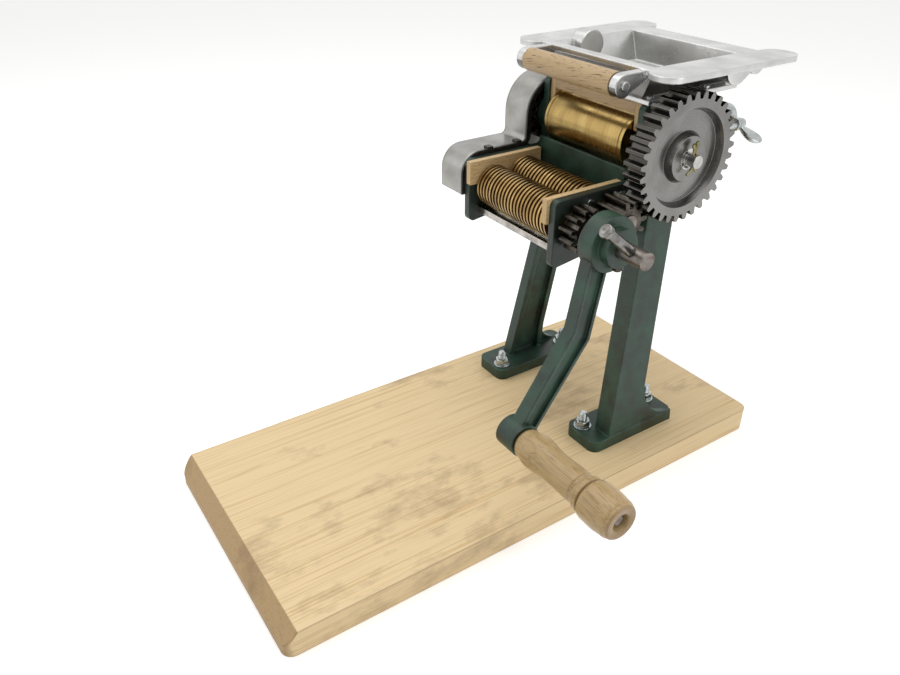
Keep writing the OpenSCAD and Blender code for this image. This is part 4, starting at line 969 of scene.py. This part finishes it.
@dataclass(frozen=True)
class Crank(SubAssembly):
    """Crank arm, its pin and clamp, and the turned grip."""

    bore: float = 15.0
    bore_l: float = 14.0
    shaft: tuple[float, float] = (53.5, 261.0)
    clamp_d: float = 6.0
    clamp_head_d: float = 9.0
    clamp_head_h: float = 4.0
    clamp_angle: float = -82.7
    clamp_from: float = 9.0
    clamp_seat: float = 16.8
    pin_d: float = 8.5
    pin_l: float = 42.0
    pin_tail: float = 13.5
    pin_head_h: float = 4.0
    pin_head_share: float = 1.35
    pin_angle: float = 139.5
    spindle_d: float = 8.0
    nut_across: float = 12.0
    waist_r: float = 13.0
    lip: float = 0.8

    def dress(self) -> None:
        """Finishes the arm and its pins."""
        dress(IRON_GREEN, "crank_arm")
        dress(STEEL_DARK, "handle_spindle")

    def build(self) -> None:
        """Makes the grip and the small fixings."""
        self.grip()
        self.drive_pin()
        self.clamp_screw()
        self.spindle_nut()

    def drive_pin(self) -> None:
        """Turns the pin through the shaft's end: rounded tail, flat head with a centre dimple."""
        low, high = box_mm("drive_pin")
        lean = Matrix.Rotation(math.radians(self.pin_angle - 90.0), 4, "X")
        place = at((low.x + high.x) / 2, *self.shaft) @ lean
        half, head = self.pin_d / 2, self.pin_head_share * self.pin_d / 2
        tail, seat, top = -self.pin_tail, self.pin_l, self.pin_l + self.pin_head_h
        profile = (
            (tail, 0.6 * half), (tail + 0.6, 0.9 * half), (tail + 1.6, half), (seat, half),
            (seat, head), (top - 0.7, head), (top - 0.2, head - 0.3), (top, head - 0.8),
            (top, 0.62 * head), (top - 1.2, 0.05),
        )
        pin = Sketch()
        pin.lathe(profile, place, steps=40)
        pin.piece("drive_pin_turned", STEEL_PIN, "crank", "drive_pin")

    def clamp_screw(self) -> None:
        """Makes the slotted screw that clamps the hub to the shaft."""
        low, high = box_mm("clamp_screw")
        lean = Matrix.Rotation(math.radians(self.clamp_angle - 90.0), 4, "X")
        place = at((low.x + high.x) / 2, *self.shaft) @ lean
        screw, half = Sketch(), self.clamp_d / 2
        screw.lathe(((self.clamp_from, half), (self.clamp_seat, half)), place)
        seat = place @ at(0.0, 0.0, self.clamp_seat)
        screw.slotted_head(self.clamp_head_d, self.clamp_head_h, seat)
        screw.piece("clamp_screw_slotted", STEEL_PINION, "crank", "clamp_screw")

    def spindle_nut(self) -> None:
        """Makes the nut that holds the grip's spindle in the arm."""
        low, high = box_mm("spindle_nut")
        place = at(low.x, (low.y + high.y) / 2, (low.z + high.z) / 2) @ TO_X
        nut = Sketch()
        nut.hex_nut(self.nut_across, self.spindle_d, high.x - low.x, place)
        nut.piece("spindle_nut_chamfered", STEEL_PINION, "crank", "spindle_nut", sharp=25.0)

    def grip(self) -> None:
        """Turns the grip with fine steps."""
        low, high = box_mm("handle_grip")
        length = high.x - low.x
        waist, most, steps = self.waist_r, (high.y - low.y) / 2, 6
        rings = (
            (0.0, waist - 1.5), (0.03, waist + 0.2), (0.14, waist + 2.2), (0.34, waist),
            (0.59, waist + 0.6), (0.61, waist - 0.3), (0.622, waist - 0.6), (0.636, waist + 0.9),
            (0.66, waist + 2.2), (0.69, waist + 2.3), (0.705, waist + 0.5), (0.722, most - 1.0),
            (0.75, most - 0.3), (0.85, most), (0.95, most - 1.0), (0.985, most - 2.3),
            (1.0, most - 3.6),
        )
        profile: list[tuple[float, float]] = []
        for (s0, r0), (s1, r1) in zip(rings, rings[1:]):
            for k in range(steps):
                t = k / steps
                ease = (1 - math.cos(math.pi * t)) / 2
                profile.append((length * (s0 + (s1 - s0) * t), r0 + (r1 - r0) * ease))
        hole = self.bore / 2
        profile += [
            (length, rings[-1][1]), (length, hole + self.lip), (length - self.lip, hole),
            (length - self.bore_l, hole),
        ]
        grip = Sketch()
        grip.lathe(profile, at(low.x, (low.y + high.y) / 2, (low.z + high.z) / 2) @ TO_X, steps=72)
        grip.piece("grip_turned", OAK_TURNED, "grip", "handle_grip", sharp=50.0)


@dataclass(frozen=True)
class Rollers(SubAssembly):
    """Smooth rollers, the large gear, bearings and wing screws."""

    wire_d: float = 2.2
    eye_r: float = 3.2
    leg_gap: float = 0.05
    wing_t: float = 4.8
    wing_reach: float = 26.0
    wing_turn: float = 30.0
    wing_h: float = 18.0
    wing_root: float = 2.5
    wing_middle: tuple[float, float] = (5.0, 6.5)  # its height at the root, its rise to the tip
    wing_half: tuple[float, float] = (4.0, 6.8)  # half its width at the root, its growth
    tip_l: float = 4.0
    tip_step: float = 1.0
    tip_chamfer: float = 0.5
    hub_overlap: float = 2.0
    screw_d: float = 7.0
    screw_pitch: float = 1.25

    def dress(self) -> None:
        """Finishes the rollers, shafts, gears and blocks."""
        low, high = box_mm("big_gear")
        middle = (low + high) / 2
        # Gear steel faced on the lathe: grey rings with a brushed sheen, flanks darker.
        faced = FacedMetal("steel_gear_faced", Slot.GEAR_STEEL, centre=tuple(middle))
        dress(BRASS_TURNED, "front_roller", "rear_roller")
        dress(faced, "big_gear")
        dress(STEEL_PINION, "front_roller_gear", "rear_roller_gear", "left_block", "right_block")
        dress(STEEL_BRIGHT, "front_roller_shaft")
        dress(STEEL_DARK, "rear_roller_shaft")
        dress(BRONZE_BUSH, "roller_bushes")

    def build(self) -> None:
        """Makes the split pin and the wing screws."""
        self.split_pin()
        self.wing_screw("left_wing_screw", "left_screw")
        self.wing_screw("right_wing_screw", "right_screw")

    def split_pin(self) -> None:
        """Bends the split pin: an eye, two legs, their ends spread."""
        low, high = box_mm("split_pin")
        x, y = (low.x + high.x) / 2, (low.y + high.y) / 2
        eye, gap = self.eye_r, self.wire_d / 2 + self.leg_gap
        bends, first, sweep, loop, sunk = 17, -60, 300, 0.9, 0.6
        legs: list[Point] = [
            (x, y - gap - 5.0, low.z - 0.5), (x, y - gap - 2.0, low.z + 1.5),
            (x, y - gap, low.z + 4.5), (x, y - gap, high.z - 2 * eye),
        ]
        for k in range(bends):
            a = math.radians(first - sweep * k / bends)
            rise = eye * math.cos(a) * loop
            legs.append((x, y + eye * math.sin(a) * loop, high.z - eye + rise - sunk))
        legs += [
            (x, y + gap, high.z - 2 * eye), (x, y + gap, low.z + 4.5),
            (x, y + gap + 2.0, low.z + 2.0), (x, y + gap + 4.5, low.z + 1.0),
        ]
        pin = Sketch()
        pin.tube(legs, self.wire_d, Matrix.Identity(4))
        pin.piece("split_pin_bent", BRASS_WIRE, "front_roller_set", "split_pin", sharp=60.0)

    def wing_screw(self, node: str, body: str) -> None:
        """Makes one wing screw: threaded shank, hub and two forged wings.

        Args:
            node: node that it stands for.
            body: body that carries it.
        """
        low, high = box_mm(node)
        x, z = (low.x + high.x) / 2, (low.z + high.z) / 2
        hub, tip, root = high.y - self.wing_h, self.screw_d / 2 - self.tip_step, self.wing_root
        start, chamfer = low.y + self.tip_l, self.tip_chamfer
        place = at(x, 0.0, z) @ TO_Y
        turned = at(x, 0.0, z) @ Matrix.Rotation(math.radians(self.wing_turn), 4, "Y")
        screw = Sketch()
        screw.lathe(((low.y, tip - chamfer), (low.y + chamfer, tip), (start, tip)), place)
        screw.thread(self.screw_d, self.screw_pitch, start, hub + self.hub_overlap, place)
        barrel = ((0.0, 5.2), (0.8, 6.0), (7.0, 5.6), (11.0, 4.6), (12.0, 3.0))
        screw.lathe([(hub + y, r) for y, r in barrel], place)
        for s in (-1, 1):
            outline, steps = [], 40
            for k in range(steps):
                a = math.tau * k / steps
                reach = 0.5 + 0.5 * math.cos(a)
                middle = hub + self.wing_middle[0] + self.wing_middle[1] * reach
                half = self.wing_half[0] + self.wing_half[1] * reach
                v = min(middle + half * math.sin(a), high.y)
                outline.append((s * (root + (self.wing_reach - root) * reach), v))
            screw.lobe(outline, self.wing_t, turned)
        screw.piece(node + "_forged", ZINC_PLATED, body, node, sharp=45.0)


@dataclass(frozen=True)
class Feed(SubAssembly):
    """Hopper, guide roller and the beech throat."""

    screw_d: float = 4.0
    head_d: float = 6.4
    head_h: float = 2.5
    slot_turn: float = 0.07  # radians a millimetre of place, so that no two slots lie alike

    def dress(self) -> None:
        """Finishes the hopper, the guide roller and the throat."""
        dress(ALUMINIUM_CAST, "hopper")
        dress(BEECH_LONG, "guide_roller", "throat_strip")
        dress(BEECH_SIDE, "throat_cheek_left", "throat_cheek_right")
        dress(ALUMINIUM_CAST, "guide_axle")

    def build(self) -> None:
        """Makes the slotted screws of the hopper."""
        low, high = box_mm("hopper_screws")
        screws, rod, seat = Sketch(), self.screw_d / 2, high.z - self.head_h
        for x in (low.x + self.head_d / 2, high.x - self.head_d / 2):
            for y in (low.y + self.head_d / 2, high.y - self.head_d / 2):
                place = at(x, y, 0.0) @ Matrix.Rotation(self.slot_turn * (x + y), 4, "Z")
                screws.lathe(((low.z, rod), (seat, rod)), place, steps=24)
                screws.slotted_head(self.head_d, self.head_h, place @ at(0.0, 0.0, seat))
        screws.piece("hopper_screws_slotted", ZINC_PLATED, "stand", "hopper_screws")


@dataclass(frozen=True)
class Guard(SubAssembly):
    """Gear cover with its rim, studs and nuts."""

    stud_d: float = 6.0
    stud_pitch: float = 1.0
    nut_across: float = 10.0
    thread_l: float = 14.0
    studs: tuple[tuple[float, float], ...] = ((70.89, 243.5), (111.67, 281.0), (163.27, 339.56))

    def dress(self) -> None:
        """Finishes the cover and its rim."""
        dress(ALUMINIUM_SATIN, "gear_cover")
        dress(BLACK_ENAMEL, "cover_rim")

    def build(self) -> None:
        """Makes the threaded studs and their nuts."""
        low, high = box_mm("cover_studs")
        nut_low, nut_high = box_mm("cover_nuts")
        studs, nuts = Sketch(), Sketch()
        reach, rod = high.x - low.x, self.stud_d / 2
        plain = reach - self.thread_l
        for y, z in self.studs:
            out = at(high.x, y, z) @ TO_X @ Matrix.Rotation(math.pi, 4, "X")
            studs.lathe(((0.0, rod), (plain, rod)), out, steps=32)
            studs.thread(self.stud_d, self.stud_pitch, plain, reach, out)
            seat = at(nut_low.x, y, z) @ TO_X
            nuts.hex_nut(self.nut_across, self.stud_d, nut_high.x - nut_low.x, seat)
        studs.piece("cover_studs_threaded", ZINC_PLATED, "stand", "cover_studs")
        nuts.piece("cover_nuts_chamfered", ZINC_PLATED, "stand", "cover_nuts", sharp=25.0)


@dataclass(frozen=True)
class SoftBox:
    """A square lamp behind a white sheet; lengths in metres."""

    name: str
    place: Point
    aim: Point
    size: float
    watts: float

    def hang(self) -> None:
        """Hangs the lamp at its place, facing its aim."""
        data = bpy.data.lights.new(self.name, "AREA")
        data.size = self.size
        data.energy = self.watts
        made = bpy.data.objects.new(self.name, data)
        bpy.context.scene.collection.objects.link(made)
        made.location = self.place
        made.rotation_mode = "QUATERNION"
        made.rotation_quaternion = (Vector(self.aim) - Vector(self.place)).to_track_quat("-Z", "Y")


@dataclass(frozen=True)
class Studio:
    """White floor and backdrop, soft light from above and the window side."""

    floor: str = "#f6f6f5"
    room: str = "#8f8f8d"
    backdrop: str = "#f1f1f0"
    fill: float = 0.62
    lift: float = 0.4
    floor_half: float = 6.0
    room_way: Point = (0.78, -0.52, -0.2)
    lamps: tuple[SoftBox, ...] = (
        SoftBox("soft_box_above", (-0.25, -0.15, 1.7), (0.0, 0.05, 0.2), 1.6, 11.0),
        SoftBox("soft_box_right", (1.3, 0.45, 0.8), (0.0, 0.05, 0.2), 1.2, 6.0),
        SoftBox("soft_box_front", (-0.9, -1.3, 0.9), (0.0, 0.05, 0.3), 1.2, 3.0),
    )

    def build(self) -> None:
        """Makes the floor, the world and the lamps."""
        self.lay_floor()
        self.light_world()
        for lamp in self.lamps:
            lamp.hang()

    def lay_floor(self) -> None:
        """Lays a wide white sheet under the plank."""
        half = self.floor_half
        mesh = bpy.data.meshes.new("floor")
        corners = [(-half, -half, 0), (half, -half, 0), (half, half, 0), (-half, half, 0)]
        mesh.from_pydata(corners, [], [(0, 1, 2, 3)])
        sheet = bpy.data.objects.new("floor", mesh)
        bpy.context.scene.collection.objects.link(sheet)
        # Matt white paper: no gloss; seen or mirrored it is lifted to nearly white.
        paper = bpy.data.materials.new("paper_white_matt")
        paper.use_nodes = True
        paper.node_tree.nodes.clear()
        put = partial(add_node, paper.node_tree)
        matt = put("BsdfDiffuse", {"Color": self.floor})
        ray = put("LightPath")
        seen = put("Math", {
            0: ray.outputs["Is Camera Ray"], 1: ray.outputs["Is Glossy Ray"],
        }, operation="MAXIMUM")
        clear = put("Math", {0: seen, 1: ray.outputs["Is Transmission Ray"]}, operation="MAXIMUM")
        shown = put("Math", {0: clear, 1: self.lift}, operation="MULTIPLY")
        glow = put("Emission", {"Color": "#ffffff", "Strength": shown})
        both = put("AddShader", {0: matt, 1: glow})
        put("OutputMaterial", {"Surface": both})
        mesh.materials.append(paper)

    def light_world(self) -> None:
        """Sets a white backdrop, greyer on the side of the room behind the camera."""
        world = bpy.data.worlds.new("studio_white")
        bpy.context.scene.world = world
        world.use_nodes = True
        world.node_tree.nodes.clear()
        put = partial(add_node, world.node_tree)
        way = put("TexCoord").outputs["Generated"]
        facing = put("VectorMath", {0: way, 1: self.room_way}, operation="DOT_PRODUCT")
        share = put("MapRange", {"Value": facing, "From Min": -0.2, "From Max": 0.9})
        room = put("Mix", {0: share, 6: "#ffffff", 7: self.room}, data_type="RGBA")
        ray = put("LightPath")
        mirrored = put("Math", {
            0: ray.outputs["Is Glossy Ray"], 1: ray.outputs["Is Transmission Ray"],
        }, operation="MAXIMUM")
        soft = put("Background", {"Color": room, "Strength": self.fill})
        shown = put("Background", {"Color": room, "Strength": 1.0})
        white = put("Background", {"Color": self.backdrop, "Strength": 1.0})
        lit = put("MixShader", {0: mirrored, 1: soft, 2: shown})
        seen = put("MixShader", {0: ray.outputs["Is Camera Ray"], 1: lit, 2: white})
        put("OutputWorld", {"Surface": seen})


@dataclass(frozen=True)
class PhotoCamera:
    """Camera at the place the object was photographed from."""

    place: Point = (0.5217, -0.3771, 0.5303)
    azimuth: float = 56.5
    elevation: float = 31.4
    focal_px: float = 798.7
    image_w: float = 900.0
    sensor: float = 36.0
    clip_near: float = 0.01

    def build(self) -> None:
        """Makes the camera and sets it as the scene's own."""
        data = bpy.data.cameras.new("photo_camera")
        data.sensor_fit = "HORIZONTAL"
        data.sensor_width = self.sensor
        data.lens = self.focal_px / self.image_w * self.sensor
        data.clip_start = self.clip_near
        made = bpy.data.objects.new("photo_camera", data)
        bpy.context.scene.collection.objects.link(made)
        turn, rise = math.radians(self.azimuth), math.radians(self.elevation)
        level = math.cos(rise)
        ahead = Vector((-math.sin(turn) * level, math.cos(turn) * level, -math.sin(rise)))
        made.location = self.place
        made.rotation_mode = "QUATERNION"
        made.rotation_quaternion = ahead.to_track_quat("-Z", "Y")
        bpy.context.scene.camera = made


def main() -> None:
    """Builds the camera, the studio and each sub-assembly in order."""
    logging.basicConfig(level=logging.INFO, format="%(message)s")
    bpy.context.scene.view_settings.view_transform = "Standard"
    PhotoCamera().build()
    Studio().build()
    for group in (Stand(), CutterHead(), Crank(), Rollers(), Feed(), Guard()):
        group.dress()
        group.build()


if __name__ == "__main__":
    main()
